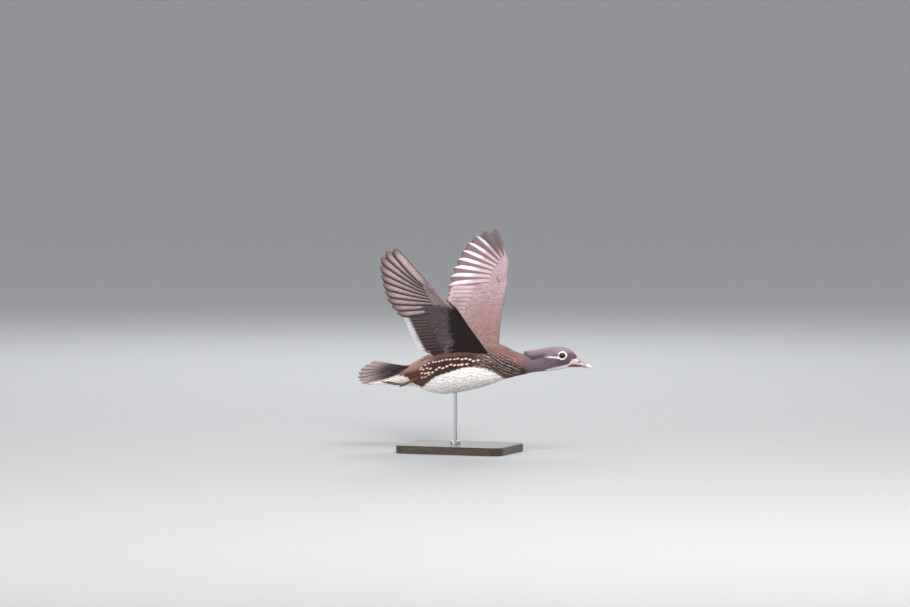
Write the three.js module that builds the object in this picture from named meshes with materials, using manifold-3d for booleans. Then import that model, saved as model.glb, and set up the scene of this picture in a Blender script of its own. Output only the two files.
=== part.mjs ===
// A female mandarin duck in level flight with both wings raised, as a life-size
// model on a plain display stand: a flat base with one rod up to the belly.
// Millimetres. +X runs to the bill, +Y to the bird's left, +Z up. The origin is
// under the middle of the stand's base, on the surface that it stands on.
import * as THREE from "three";
import { mergeVertices } from "three/addons/utils/BufferGeometryUtils.js";
import Module from "manifold-3d";

const wasm = await Module();
wasm.setup();

// Driving dimensions
const GAP = 0.3; // between neighbouring nodes
const BIRD_HEIGHT = 150; // the bird's long axis above the floor
const HEAD_TURN = 10; // degrees, to the bird's left
const NECK_BEND = [70, 130]; // where along X the neck turns
const SHOULDER = [63.4, 28.3, 29.6]; // front of the left wing's root, in the bird's frame
const ARM_LENGTH = 129; // shoulder to wrist
const HAND_LENGTH = 60; // wrist to the root of the outermost primary
const WING_CAMBER = 0.0004; // droop behind the leading edge, per millimetre squared
const DETAIL = 0.06; // the smallest unevenness that is kept in a surface
const VANE_THICKNESS = 0.6;
const VANE_TILT = 1; // how much higher a vane's front edge lies than its shaft
const VANE_ARCH = 0.35; // how much the shaft stands over the line between the edges
const TAIL_ROOT = [-88, 0, -4];
const TAIL_DROP = 15.5; // degrees below the body's axis
const TAIL_TWIST = 21; // degrees, right side up
const TAIL_CUP = 0.0035; // how far its sides curl up, per millimetre squared
const EYE = { x: 190, y: 11.8, z: 25, radius: 5.6 };
const STAND = { length: 200, width: 140, thickness: 14, corner: 20, rodX: -8, rodRadius: 3 };

const degrees = THREE.MathUtils.degToRad;
const lerp = THREE.MathUtils.lerp;
const smooth = (t) => THREE.MathUtils.smoothstep(t, 0, 1);
const vector = (x, y, z) => new THREE.Vector3(x, y, z);

// A closed three.js geometry as a solid that can be joined and cut.
function solidOf(geometry) {
  const bare = new THREE.BufferGeometry().setAttribute("position", geometry.getAttribute("position"));
  if (geometry.index) bare.setIndex(geometry.index);
  const merged = mergeVertices(bare, 1e-4);
  return new wasm.Manifold(
    new wasm.Mesh({
      numProp: 3,
      vertProperties: new Float32Array(merged.attributes.position.array),
      triVerts: new Uint32Array(merged.index.array),
    }),
  );
}

const join = (solids) => wasm.Manifold.union(solids);

function largestPiece(solid) {
  const pieces = solid.decompose();
  return pieces.reduce((best, piece) => (piece.volume() > best.volume() ? piece : best));
}

function geometryOf(points, triangles) {
  const geometry = new THREE.BufferGeometry().setFromPoints(points);
  geometry.setIndex(triangles);
  return geometry;
}

// A closed skin over rings of equally many points, with a middle point at each end.
function loft(rings) {
  const count = rings[0].length;
  const points = rings.flat();
  const triangles = [];
  for (let ring = 0; ring + 1 < rings.length; ring++) {
    for (let k = 0; k < count; k++) {
      const next = (k + 1) % count;
      const [a, b] = [ring * count + k, ring * count + next];
      const [c, d] = [a + count, b + count];
      triangles.push(a, b, d, a, d, c);
    }
  }
  for (const [ring, flip] of [[0, true], [rings.length - 1, false]]) {
    const middle = rings[ring].reduce((sum, p) => sum.add(p), vector(0, 0, 0)).divideScalar(count);
    points.push(middle);
    for (let k = 0; k < count; k++) {
      const [a, b] = [ring * count + k, ring * count + ((k + 1) % count)];
      triangles.push(...(flip ? [b, a] : [a, b]), points.length - 1);
    }
  }
  return outward(geometryOf(points, triangles));
}

// A thin closed sheet between two like grids of points, split alike on both faces.
function sheet(upper, lower) {
  const [rows, columns] = [upper.length, upper[0].length];
  const points = [...upper.flat(), ...lower.flat()];
  const below = rows * columns;
  const at = (row, column) => row * columns + column;
  const triangles = [];
  for (let row = 0; row + 1 < rows; row++) {
    for (let column = 0; column + 1 < columns; column++) {
      const [a, b] = [at(row, column), at(row, column + 1)];
      const [c, d] = [at(row + 1, column), at(row + 1, column + 1)];
      triangles.push(a, b, d, a, d, c);
      triangles.push(below + a, below + d, below + b, below + a, below + c, below + d);
    }
  }
  const rim = [];
  for (let column = 0; column + 1 < columns; column++) rim.push(at(0, column));
  for (let row = 0; row + 1 < rows; row++) rim.push(at(row, columns - 1));
  for (let column = columns - 1; column > 0; column--) rim.push(at(rows - 1, column));
  for (let row = rows - 1; row > 0; row--) rim.push(at(row, 0));
  rim.forEach((a, k) => {
    const b = rim[(k + 1) % rim.length];
    triangles.push(b, a, below + a, b, below + a, below + b);
  });
  return outward(geometryOf(points, triangles));
}

// The same geometry with its faces turned out, whichever way they were wound.
function outward(geometry) {
  const index = geometry.index.array;
  const position = geometry.attributes.position;
  const [a, b, c] = [vector(0, 0, 0), vector(0, 0, 0), vector(0, 0, 0)];
  let volume = 0;
  for (let k = 0; k < index.length; k += 3) {
    a.fromBufferAttribute(position, index[k]);
    b.fromBufferAttribute(position, index[k + 1]);
    c.fromBufferAttribute(position, index[k + 2]);
    volume += a.dot(b.cross(c));
  }
  if (volume < 0) {
    for (let k = 0; k < index.length; k += 3) [index[k + 1], index[k + 2]] = [index[k + 2], index[k + 1]];
  }
  return geometry;
}

// The value at x on a smooth curve through rows of [x, ...values].
function along(rows, x) {
  const last = rows.length - 1;
  let k = rows.findIndex((row) => row[0] > x) - 1;
  if (k < 0) k = x <= rows[0][0] ? 0 : last - 1;
  const [from, to] = [rows[k], rows[k + 1]];
  const [before, after] = [rows[Math.max(k - 1, 0)], rows[Math.min(k + 2, last)]];
  const t = THREE.MathUtils.clamp((x - from[0]) / (to[0] - from[0]), 0, 1);
  const step = to[0] - from[0];
  return from.slice(1).map((value, j) => {
    const [goal, column] = [to[j + 1], j + 1];
    const slopeIn = (step * (goal - before[column])) / (to[0] - before[0]);
    const slopeOut = (step * (after[column] - value)) / (after[0] - from[0]);
    const [t2, t3] = [t * t, t * t * t];
    const start = value * (2 * t3 - 3 * t2 + 1) + slopeIn * (t3 - 2 * t2 + t);
    return start + goal * (3 * t2 - 2 * t3) + slopeOut * (t3 - t2);
  });
}

// Turns a point of the straight bird to where the bent neck carries it.
function bendNeck(x, y, z) {
  const [start, end] = NECK_BEND;
  const steps = 24;
  const reach = Math.min(Math.max(x - start, 0), end - start);
  let [cx, cy] = [Math.min(x, start), 0];
  for (let k = 0; k < steps; k++) {
    const angle = degrees(HEAD_TURN) * smooth((((k + 0.5) / steps) * reach) / (end - start));
    cx += (reach / steps) * Math.cos(angle);
    cy += (reach / steps) * Math.sin(angle);
  }
  const angle = degrees(HEAD_TURN) * smooth(reach / (end - start));
  const beyond = Math.max(x - end, 0);
  return vector(
    cx + beyond * Math.cos(angle) - y * Math.sin(angle),
    cy + beyond * Math.sin(angle) + y * Math.cos(angle),
    z,
  );
}

// Body: [x, top, bottom, half width, height of the widest point], tail to face.
const BODY = [
  [-172, -31.5, -34, 2.5, -33],
  [-150, -27, -34.5, 8, -31],
  [-125, -19, -35, 14.5, -27],
  [-108, -10, -35, 19, -22],
  [-95, 0, -35, 23, -16],
  [-80, 10, -37, 28, -13],
  [-58, 20.5, -44.5, 36, -11],
  [-30, 31.5, -47.8, 43, -7],
  [0, 39, -44, 46, -1],
  [30, 43.5, -37.5, 44, 4],
  [55, 44, -30, 38, 8],
  [75, 42.3, -22.5, 30, 10.5],
  [90, 36.5, -17.5, 23.5, 11],
  [105, 29.8, -13.5, 18.5, 9.5],
  [120, 25.8, -10, 15.6, 9],
  [135, 28.5, -6.3, 15, 12],
  [150, 34, -4.4, 16, 16],
  [165, 38, -3.4, 17.5, 18.5],
  [180, 39.2, -1.5, 17.6, 20],
  [192, 38.2, 1.2, 15.8, 20],
  [202, 34.3, 3.6, 12.6, 18],
  [209, 28.1, 5, 9.8, 15.5],
  [216, 20.5, 6.4, 8, 13],
];
const BODY_SIDES = 20;

function bodyRing(x, grow) {
  const [top, bottom, halfWidth, widest] = along(BODY, x);
  return Array.from({ length: BODY_SIDES }, (_, k) => {
    const angle = (k / BODY_SIDES) * 2 * Math.PI;
    const rise = Math.sin(angle) > 0 ? top + grow - widest : widest - bottom + grow;
    return bendNeck(x, (halfWidth + grow) * Math.cos(angle), widest + rise * Math.sin(angle));
  });
}

// The whole body from tail coverts to face, or the stretch between two x.
function bodyLoft(from, to, count, grow = 0) {
  const rings = Array.from({ length: count }, (_, k) => bodyRing(lerp(from, to, k / (count - 1)), grow));
  return solidOf(loft(rings));
}

// Distance of the body's skin from its axis plane at a given x and height.
function bodySide(x, z) {
  const [top, bottom, halfWidth, widest] = along(BODY, x);
  const share = z > widest ? (z - widest) / (top - widest) : (widest - z) / (widest - bottom);
  return halfWidth * Math.sqrt(Math.max(0, 1 - share * share));
}

const NODE_X = { rump: -62, neck: 86, head: 126 }; // where the body is parted

function ellipsoid(x, y, z, rx, ry, rz, detail = 12) {
  const geometry = new THREE.SphereGeometry(1, detail, Math.round(detail * 0.7));
  geometry.scale(rx, ry, rz);
  const centre = bendNeck(x, y, z);
  const turn = x > NECK_BEND[1] ? degrees(HEAD_TURN) : 0;
  geometry.rotateZ(turn).translate(centre.x, centre.y, centre.z);
  return solidOf(geometry);
}

// A raised eyelid rim, facing outward on one side of the head.
function eyelid(side) {
  const geometry = new THREE.TorusGeometry(EYE.radius * 0.86, 1.15, 5, 14);
  geometry.rotateX(Math.PI / 2).rotateZ(side * degrees(-6));
  geometry.rotateX(side * degrees(10));
  const centre = bendNeck(EYE.x, side * (bodySide(EYE.x, EYE.z) - 0.4), EYE.z);
  geometry.rotateZ(degrees(HEAD_TURN)).translate(centre.x, centre.y, centre.z);
  return solidOf(geometry);
}

// One tapered lock of the nape's crest, lying back over the neck.
function crestLock(around, start, end, width, lift) {
  const stations = 4;
  const grids = [[], []];
  for (let k = 0; k < stations; k++) {
    const t = k / (stations - 1);
    const x = lerp(start, end, t);
    const [top, bottom, halfWidth, widest] = along(BODY, x);
    const half = width * (0.45 + 0.55 * Math.sin(Math.PI * Math.min(t * 1.15, 1))) * (t === 1 ? 0.25 : 1);
    const height = lerp(-2, lift, smooth(t));
    for (const [face, grid] of grids.entries()) {
      const out = height + (face ? -1 : 1) * lerp(1.1, 0.3, t);
      grid.push(
        [-1, 0, 1].map((across) => {
          const angle = degrees(90 - around) + (across * half) / 17;
          const [y, z] = [Math.cos(angle) * (halfWidth + out), Math.sin(angle) * (top - widest + out)];
          return bendNeck(x, y, widest + z);
        }),
      );
    }
  }
  return solidOf(sheet(...grids));
}

function crest() {
  const locks = [];
  for (const [tier, count, start, end, lift] of [[0, 7, 156, 121, 4.2], [1, 5, 168, 134, 3.4]]) {
    for (let k = 0; k < count; k++) {
      const across = (2 * k) / (count - 1) - 1;
      const around = across * lerp(74, 52, tier);
      const short = 7 * Math.abs(across);
      locks.push(crestLock(around, start, end + short - 4 * (1 - tier), 5.6, lift + 0.8 * (k % 2)));
    }
  }
  return locks;
}

// The plane across the head at the bill's root, given as a normal and a distance.
const BILL_ROOT = { x: 213.6, z: 21.2, lean: 38 };

function billPlane() {
  const lean = degrees(BILL_ROOT.lean);
  const turn = degrees(HEAD_TURN);
  const normal = vector(Math.cos(lean) * Math.cos(turn), Math.cos(lean) * Math.sin(turn), -Math.sin(lean));
  const distance = normal.dot(bendNeck(BILL_ROOT.x, 0, BILL_ROOT.z));
  return { normal, distance };
}

// Keeps what lies beyond a plane, half a gap away from it, on one side.
function trim(solid, normal, distance, side) {
  const n = normal.clone().multiplyScalar(side);
  return solid.trimByPlane([n.x, n.y, n.z], side * distance + GAP / 2);
}

function neckPlane(x) {
  const [a, b] = [bendNeck(x, 0, 0), bendNeck(x + 0.5, 0, 0)];
  const normal = b.sub(a).normalize();
  return { normal, distance: normal.dot(a) };
}

// Bill: [x, culmen, mouth line, underside, half width], from inside the face to the tip.
const BILL = [
  [194, 25.5, 8.6, 3.5, 9],
  [206, 23.6, 8.2, 3.6, 8.8],
  [213.6, 21.2, 7.8, 3.8, 8],
  [221, 15.4, 7.1, 3.9, 7.2],
  [228, 10.8, 6, 2.9, 7],
  [233, 9, 4.9, 1.9, 7.1],
  [236.6, 7.9, 3.8, 1.3, 6],
  [238.6, 6.3, 2.4, 0.9, 3.9],
  [239.6, 4, 0.6, 0.4, 1.4],
];

function billLoft(upper) {
  const [sides, count] = [12, 14];
  const fullest = upper ? 0.12 : 0.75; // how high the widest point lies
  const rings = Array.from({ length: count }, (_, k) => {
    const x = lerp(BILL[0][0], BILL.at(-1)[0], Math.pow(k / (count - 1), 0.8));
    const [culmen, mouth, underside, halfWidth] = along(BILL, x);
    const top = upper ? culmen : mouth - GAP;
    const bottom = upper ? mouth : Math.min(underside, mouth - GAP - 0.7);
    const width = upper ? halfWidth : halfWidth - 1;
    return Array.from({ length: sides }, (_, j) => {
      const angle = (j / sides) * 2 * Math.PI;
      const across = Math.sign(Math.cos(angle)) * Math.pow(Math.abs(Math.cos(angle)), 0.8);
      const middle = lerp(bottom, top, fullest);
      const rise = Math.sin(angle) > 0 ? top - middle : middle - bottom;
      return bendNeck(x, Math.max(width, 0.6) * across, middle + rise * Math.sin(angle));
    });
  });
  return solidOf(loft(rings));
}

const NOSTRIL = { x: 218.5, y: 5.4, z: 13.2, size: [2.6, 1.6, 1.1] };

function billNodes() {
  const { normal, distance } = billPlane();
  const { x, y, z, size } = NOSTRIL;
  const nostrils = [-1, 1].map((side) => ellipsoid(x, side * y, z, ...size, 8));
  const upper = billLoft(true).subtract(join(nostrils));
  return {
    bill_upper: largestPiece(trim(upper, normal, distance, 1)),
    bill_lower: largestPiece(trim(billLoft(false), normal, distance, 1)),
  };
}

function headNode() {
  const { normal, distance } = billPlane();
  const neck = neckPlane(NODE_X.head);
  const skull = trim(bodyLoft(116, 216, 17), neck.normal, neck.distance, 1);
  const neckGrown = trim(bodyLoft(100, 140, 10, GAP), neck.normal, neck.distance, -1);
  const whole = join([skull, ...crest(), eyelid(-1), eyelid(1)]).subtract(neckGrown);
  const sockets = [-1, 1].map((side) => eyeball(side, EYE.radius + GAP));
  return largestPiece(trim(whole.subtract(join(sockets)), normal, distance, -1));
}

const eyeball = (side, radius) => ellipsoid(EYE.x, side * EYE.y, EYE.z, radius, radius, radius, 12);

// The wing's shape, laid flat: u runs out from the shoulder and v back from it.
// lift is the root's angle above level and curl how much of it is lost per millimetre;
// flex bends the hand up, and fan gives the inner and outer primaries' angles to the hand.
const LEFT = {
  side: 1,
  lift: 59.5,
  curl: 0.066,
  flex: -0.00068,
  armSweep: 4.7,
  handSweep: 12.3,
  fan: [88, 13.3],
};
const RIGHT = {
  side: -1,
  lift: 45.3,
  curl: 0.069,
  flex: 0.00143,
  armSweep: 10.7,
  handSweep: 27.2,
  fan: [71, -6],
};

function wristOf(wing) {
  const sweep = degrees(wing.armSweep);
  return [ARM_LENGTH * Math.cos(sweep), ARM_LENGTH * Math.sin(sweep)];
}

function leadingEdge(wing, u) {
  const [wristU, wristV] = wristOf(wing);
  if (u < wristU) return wristV * (u / wristU) + 3 * Math.sin((Math.PI * Math.max(u, 0)) / wristU);
  return wristV + Math.tan(degrees(wing.handSweep)) * (u - wristU);
}

// Carries a point of the flat wing, w above it, on to the raised and curled wing.
function wingPoint(wing, u, v, w) {
  const [lift, curl] = [degrees(wing.lift), degrees(wing.curl)];
  const angle = lift - curl * u;
  const behind = Math.max(v - leadingEdge(wing, u), 0);
  const beyond = Math.max(u - wristOf(wing)[0], 0);
  const height = w - WING_CAMBER * behind * behind + wing.flex * beyond * beyond;
  const lateral = (Math.sin(lift) - Math.sin(angle)) / curl - height * Math.sin(angle);
  const vertical = (Math.cos(angle) - Math.cos(lift)) / curl + height * Math.cos(angle);
  return vector(SHOULDER[0] - v, wing.side * (SHOULDER[1] + lateral), SHOULDER[2] + vertical);
}

const PRIMARY = [[0, 0.3], [0.3, 0.9], [0.6, 1], [0.88, 0.88], [1, 0.28]];
const SECONDARY = [[0, 0.4], [0.4, 1], [0.9, 0.94], [1, 0.4]];
const COVERT = [[0, 0.6], [0.4, 1], [0.82, 0.88], [1, 0.3]];

// One feather vane on the wing: shape lists how wide it is along its length, lead is the
// share of its width in front of the shaft, and its front edge lies higher than its rear.
function vane(wing, feather) {
  const { base, angle, length, width, shape, level, lead, bow } = feather;
  const { tilt = VANE_TILT, across = [-1, 0, 1] } = feather;
  const direction = degrees(angle);
  const [du, dv] = [Math.cos(direction), Math.sin(direction)];
  const grids = [[], []];
  for (const [t, wide] of shape) {
    const back = bow * length * t * t;
    const u = base[0] + du * length * t - dv * back;
    const v = base[1] + dv * length * t + du * back;
    for (const [face, grid] of grids.entries()) {
      const half = (VANE_THICKNESS / 2) * (face ? -1 : 1);
      grid.push(
        across.map((step) => {
          const offset = width * wide * (step > 0 ? -lead * step : -(1 - lead) * step);
          const arch = step === 0 ? VANE_ARCH : 0;
          return wingPoint(wing, u - dv * offset, v + du * offset, level + tilt * step + arch + half);
        }),
      );
    }
  }
  return solidOf(sheet(...grids));
}

// A wing's rounded section: share of the chord, and height as a share of the thickness.
const SECTION_OVER = [[0, 0], [0.05, 0.42], [0.2, 0.6], [0.5, 0.5], [1, 0.1]];
const SECTION_UNDER = [[1, -0.1], [0.5, -0.3], [0.2, -0.4], [0.05, -0.3]];

// The fleshy arm or hand between two places on the span, tapering in chord and thickness.
function limb(wing, { from, to, count, chord, thickness }) {
  const rings = Array.from({ length: count }, (_, k) => {
    const t = k / (count - 1);
    const u = lerp(from, to, t);
    const front = leadingEdge(wing, u);
    return [...SECTION_OVER, ...SECTION_UNDER].map(([back, rise]) =>
      wingPoint(wing, u, front + back * lerp(...chord, t), rise * lerp(...thickness, t)),
    );
  });
  return solidOf(loft(rings));
}

const PRIMARY_LENGTHS = [102, 103, 104, 104, 106, 109, 114, 118, 116, 108]; // inner to outer
const PRIMARY_WIDTHS = [25, 17];
const PRIMARY_LEADS = [0.4, 0.24]; // the outer web's share of the width

function primaries(wing) {
  const [wristU, wristV] = wristOf(wing);
  const sweep = degrees(wing.handSweep);
  return PRIMARY_LENGTHS.map((length, k) => {
    const t = k / (PRIMARY_LENGTHS.length - 1);
    const reach = lerp(7, HAND_LENGTH, t);
    const base = [wristU + Math.cos(sweep) * reach, wristV + Math.sin(sweep) * reach + lerp(9, 3, t)];
    const angle = wing.handSweep + lerp(...wing.fan, t);
    const size = { angle, length, width: lerp(...PRIMARY_WIDTHS, t), shape: PRIMARY };
    return vane(wing, { base, ...size, level: 0, lead: lerp(...PRIMARY_LEADS, t), bow: 0.03 });
  });
}

const SECONDARY_COUNT = 12;

function secondaryRow(wing, count, backFrom, pick) {
  const [wristU] = wristOf(wing);
  return Array.from({ length: count }, (_, k) => {
    const t = k / (count - 1);
    const u = lerp(wristU - 5, 9, t);
    return vane(wing, { base: [u, leadingEdge(wing, u) + backFrom], bow: -0.03, ...pick(t, u, k) });
  });
}

const CHORD = [108, 122]; // leading to trailing edge, at the wrist and at the body

function secondaries(wing) {
  const root = 34;
  return secondaryRow(wing, SECONDARY_COUNT, root, (t) => ({
    angle: lerp(91, 96, t),
    length: lerp(...CHORD, smooth(t)) - root,
    width: 19,
    shape: SECONDARY,
    level: 0,
    lead: 0.42,
  }));
}

const COVERT_TILT = 0.6;
const [OVER_TIER, UNDER_TIER] = [2.9, -2.6]; // heights of the first covert tiers

// A tier of coverts over or under the secondaries.
function covertTier(wing, count, root, length, width, level) {
  return secondaryRow(wing, count, root, (t) => ({
    angle: lerp(90, 98, t),
    length: length * lerp(0.9, 1.1, t),
    width,
    shape: COVERT,
    level,
    tilt: COVERT_TILT,
    lead: 0.5,
    across: [-1, 1],
  }));
}

// A tier of coverts over or under the primaries' roots.
function handTier(wing, count, length, level) {
  const [wristU, wristV] = wristOf(wing);
  const sweep = degrees(wing.handSweep);
  return Array.from({ length: count }, (_, k) => {
    const t = k / (count - 1);
    const reach = lerp(9, HAND_LENGTH - 4, t);
    const base = [wristU + Math.cos(sweep) * reach, wristV + Math.sin(sweep) * reach + lerp(12, 4, t)];
    const angle = wing.handSweep + lerp(...wing.fan, t);
    const size = { angle, length, width: 15, shape: COVERT, across: [-1, 1] };
    return vane(wing, { base, ...size, level, tilt: COVERT_TILT, lead: 0.5, bow: 0.05 });
  });
}

// The alula: three short stiff feathers on the hand's front edge.
function alula(wing) {
  const [wristU, wristV] = wristOf(wing);
  return [0, 1, 2].map((k) =>
    vane(wing, {
      base: [wristU + 6, wristV + 4 + 2.5 * k],
      angle: wing.handSweep + 2 + 7 * k,
      length: 40 - 5 * k,
      width: 8,
      shape: COVERT,
      level: 3.6 + 1.1 * k,
      tilt: 0.3,
      lead: 0.5,
      bow: 0.08,
      across: [-1, 1],
    }),
  );
}

function wristPlane(wing) {
  const [u, v] = wristOf(wing);
  const [a, b] = [wingPoint(wing, u, v, 0), wingPoint(wing, u + 0.5, v, 0)];
  const normal = b.sub(a).setX(0).normalize();
  return { normal, distance: normal.dot(a) };
}

function outerWing(wing) {
  const [wristU] = wristOf(wing);
  const span = { from: wristU - 4, to: wristU + HAND_LENGTH + 3, count: 7 };
  const hand = limb(wing, { ...span, chord: [36, 9], thickness: [9, 3] });
  const tiers = [...handTier(wing, 7, 30, OVER_TIER), ...handTier(wing, 6, 28, UNDER_TIER)];
  const whole = join([hand, ...primaries(wing), ...tiers, ...alula(wing)]);
  const { normal, distance } = wristPlane(wing);
  return largestPiece(trim(whole, normal, distance, 1));
}

function innerWing(wing, bodyGrown) {
  const [wristU] = wristOf(wing);
  const span = { from: -16, to: wristU + 4, count: 11 };
  const arm = limb(wing, { ...span, chord: [84, 44], thickness: [15, 9] });
  const greater = covertTier(wing, 8, 32, 38, 18.5, OVER_TIER);
  const lesser = covertTier(wing, 7, 20, 32, 20, 2 * OVER_TIER);
  const under = covertTier(wing, 8, 32, 38, 18.5, UNDER_TIER);
  const whole = join([arm, ...secondaries(wing), ...greater, ...lesser, ...under]);
  const { normal, distance } = wristPlane(wing);
  return largestPiece(trim(whole, normal, distance, -1).subtract(bodyGrown));
}

// Carries a point of the flat tail, a to the right, b back and w up, on to the bird.
function tailPoint(a, b, w) {
  const [drop, twist] = [degrees(TAIL_DROP), degrees(TAIL_TWIST)];
  const height = w + TAIL_CUP * a * a;
  const y = -a * Math.cos(twist) + height * Math.sin(twist);
  const z = a * Math.sin(twist) + height * Math.cos(twist);
  return vector(
    TAIL_ROOT[0] - b * Math.cos(drop) - z * Math.sin(drop),
    TAIL_ROOT[1] + y,
    TAIL_ROOT[2] - b * Math.sin(drop) + z * Math.cos(drop),
  );
}

function tailVane(angle, root, length, width, level, shape) {
  const turn = degrees(angle);
  const [da, db] = [Math.sin(turn), Math.cos(turn)];
  const grids = [[], []];
  for (const [t, wide] of shape) {
    const [a, b] = [da * (root + length * t), db * (root + length * t)];
    for (const [face, grid] of grids.entries()) {
      const half = (VANE_THICKNESS / 2) * (face ? -1 : 1);
      grid.push(
        [-1, 0, 1].map((step) => {
          const offset = 0.5 * width * wide * step;
          const tilt = -VANE_TILT * step * Math.sign(angle);
          return tailPoint(a + db * offset, b - da * offset, level + tilt + (step ? 0 : 0.3) + half);
        }),
      );
    }
  }
  return solidOf(sheet(...grids));
}

const TAIL_PAIRS = 6;
const TAIL_SPREAD = 42; // degrees from the middle to the outermost feather
const TAIL_LENGTHS = [103, 77]; // middle and outermost feathers
const TAIL_WIDTH = 21;

// The flat oval that the tail feathers are rooted in.
function tailPad(grow) {
  const pad = new THREE.SphereGeometry(1, 16, 10).scale(27 + grow, 19 + grow, 7 + grow);
  const centre = tailPoint(0, 16, -1);
  pad.rotateX(-degrees(TAIL_TWIST)).rotateY(-degrees(TAIL_DROP)).translate(centre.x, centre.y, centre.z);
  return solidOf(pad);
}

function tailNode(bodyGrown) {
  const vanes = [];
  for (let k = 0; k < TAIL_PAIRS; k++) {
    const t = (k + 0.5) / (TAIL_PAIRS - 0.5);
    for (const side of [-1, 1]) {
      const level = 0.3 * (side > 0 ? 1 : -1) * (k === 0 ? 1 : 0);
      const length = lerp(...TAIL_LENGTHS, t * t);
      vanes.push(tailVane(side * TAIL_SPREAD * t, 0, length, TAIL_WIDTH, level, SECONDARY));
    }
  }
  const covers = 7;
  for (let k = 0; k < covers; k++) {
    const across = (2 * k) / (covers - 1) - 1;
    const length = 60 * (1 - 0.35 * Math.abs(across));
    vanes.push(tailVane(across * 32 + 0.1, 4, length, 13, 3.2, COVERT));
  }
  return largestPiece(join([tailPad(0), join(vanes).subtract(bodyGrown)]));
}

// A round limb through points of [x, y, z, radius].
function tube(points, sides = 8) {
  const rings = points.map(([x, y, z, radius], k) => {
    const [from, to] = [points[Math.max(k - 1, 0)], points[Math.min(k + 1, points.length - 1)]];
    const forward = vector(to[0] - from[0], to[1] - from[1], to[2] - from[2]).normalize();
    const across = vector(0, 0, 1).cross(forward).normalize();
    const up = forward.clone().cross(across);
    return Array.from({ length: sides }, (_, j) => {
      const angle = (j / sides) * 2 * Math.PI;
      const p = vector(x, y, z).addScaledVector(across, radius * Math.cos(angle));
      return p.addScaledVector(up, radius * Math.sin(angle));
    });
  });
  return solidOf(loft(rings));
}

// The shank and foot trail under the tail coverts, given here for the right side.
const HEEL = [-66, -27.5, -18];
const ANKLE = [-96, -25.6, -31.5];
const TOE_RISE = { left: 0, right: 5 }; // the left toes keep clear of the tail's low side

const FORWARD = vector(1, 0, 0);

function legNode(side, bodyGrown) {
  const [hx, hy, hz] = HEEL;
  const [ax, ay, az] = ANKLE;
  const points = [
    [hx + 12, hy + 6, hz + 6, 5],
    [hx, hy, hz, 4],
    [lerp(hx, ax, 0.35), lerp(hy, ay, 0.35) - 0.6, lerp(hz, az, 0.35), 2.6],
    [lerp(hx, ax, 0.7), lerp(hy, ay, 0.7), lerp(hz, az, 0.7), 2.3],
    [ax, ay, az, 2.6],
    [ax - 3, ay, az - 1, 2.6],
  ].map(([x, y, z, r]) => [x, -side * y, z, r]);
  return largestPiece(trim(tube(points), FORWARD, ax, 1).subtract(bodyGrown));
}

// Three front toes with their webs folded together, claws, and a small hind toe.
function footNode(side, bodyGrown) {
  const [x, y, z] = ANKLE;
  const rise = side > 0 ? TOE_RISE.left : TOE_RISE.right;
  const place = ([px, py, pz, r]) => [px, -side * py, pz, r];
  const toe = (spread, length) => {
    const bend = (t) => [x + 2 - length * t, y + spread * Math.sin((Math.PI / 2) * t), z + rise * t * t];
    return [0, 0.3, 0.6, 0.88, 1].map((t, k) => [...bend(t), [2.5, 1.9, 1.5, 1.2, 0.35][k]]);
  };
  const toes = [toe(-7.5, 38), toe(-1.5, 44), toe(4.5, 36)];
  const rows = toes[0].map((_, k) => toes.map((line) => line[Math.min(k, 3)]));
  const web = [0.35, -0.35].map((half) =>
    rows.slice(0, 4).map((row) => row.map(([px, py, pz]) => vector(px, -side * py, pz + half))),
  );
  const hind = [[x - 2, y + 1, z], [x - 5, y + 3, z - 3], [x - 10, y + 4, z - 4.5]];
  const pieces = [
    ...toes.map((line) => tube(line.map(place), 6)),
    tube(hind.map((p, k) => place([...p, [1.8, 1.3, 0.4][k]])), 6),
    solidOf(sheet(...web)),
  ];
  return largestPiece(trim(join(pieces), FORWARD, x, -1).subtract(bodyGrown));
}

// The flat base, with rounded corners and a softened top edge.
function baseNode() {
  const { length, width, thickness, corner } = STAND;
  const [hx, hy] = [length / 2 - corner, width / 2 - corner];
  const outline = new THREE.Shape();
  outline.absarc(hx, hy, corner, 0, Math.PI / 2);
  outline.absarc(-hx, hy, corner, Math.PI / 2, Math.PI);
  outline.absarc(-hx, -hy, corner, Math.PI, 1.5 * Math.PI);
  outline.absarc(hx, -hy, corner, 1.5 * Math.PI, 2 * Math.PI);
  const bevel = 2;
  const options = { depth: thickness - bevel, bevelThickness: bevel, bevelSize: bevel, bevelOffset: -bevel };
  const geometry = new THREE.ExtrudeGeometry(outline, { ...options, bevelSegments: 1, curveSegments: 5 });
  return solidOf(geometry).trimByPlane([0, 0, 1], 0).translate([0, 0, -BIRD_HEIGHT]);
}

function rod(radius, from, to, sides = 20) {
  const geometry = new THREE.CylinderGeometry(radius, radius, to - from, sides);
  geometry.rotateX(Math.PI / 2).translate(STAND.rodX, 0, (from + to) / 2);
  return solidOf(geometry);
}

const plumage = (color) => new THREE.MeshStandardMaterial({ color, roughness: 0.8, metalness: 0 });
const MATERIALS = {
  brown: plumage(0x6a4a3e),
  dark: plumage(0x4a3632),
  grey: plumage(0x8c7d86),
  white: plumage(0xe6e0dc),
  tail: plumage(0x776862),
  bill: new THREE.MeshStandardMaterial({ color: 0xb49a98, roughness: 0.45 }),
  eye: new THREE.MeshStandardMaterial({ color: 0x0c0806, roughness: 0.08 }),
  skin: new THREE.MeshStandardMaterial({ color: 0x8a6238, roughness: 0.6 }),
  wood: new THREE.MeshStandardMaterial({ color: 0x2b211b, roughness: 0.5 }),
  steel: new THREE.MeshStandardMaterial({ color: 0xb8b8ba, roughness: 0.3, metalness: 1 }),
};

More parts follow.
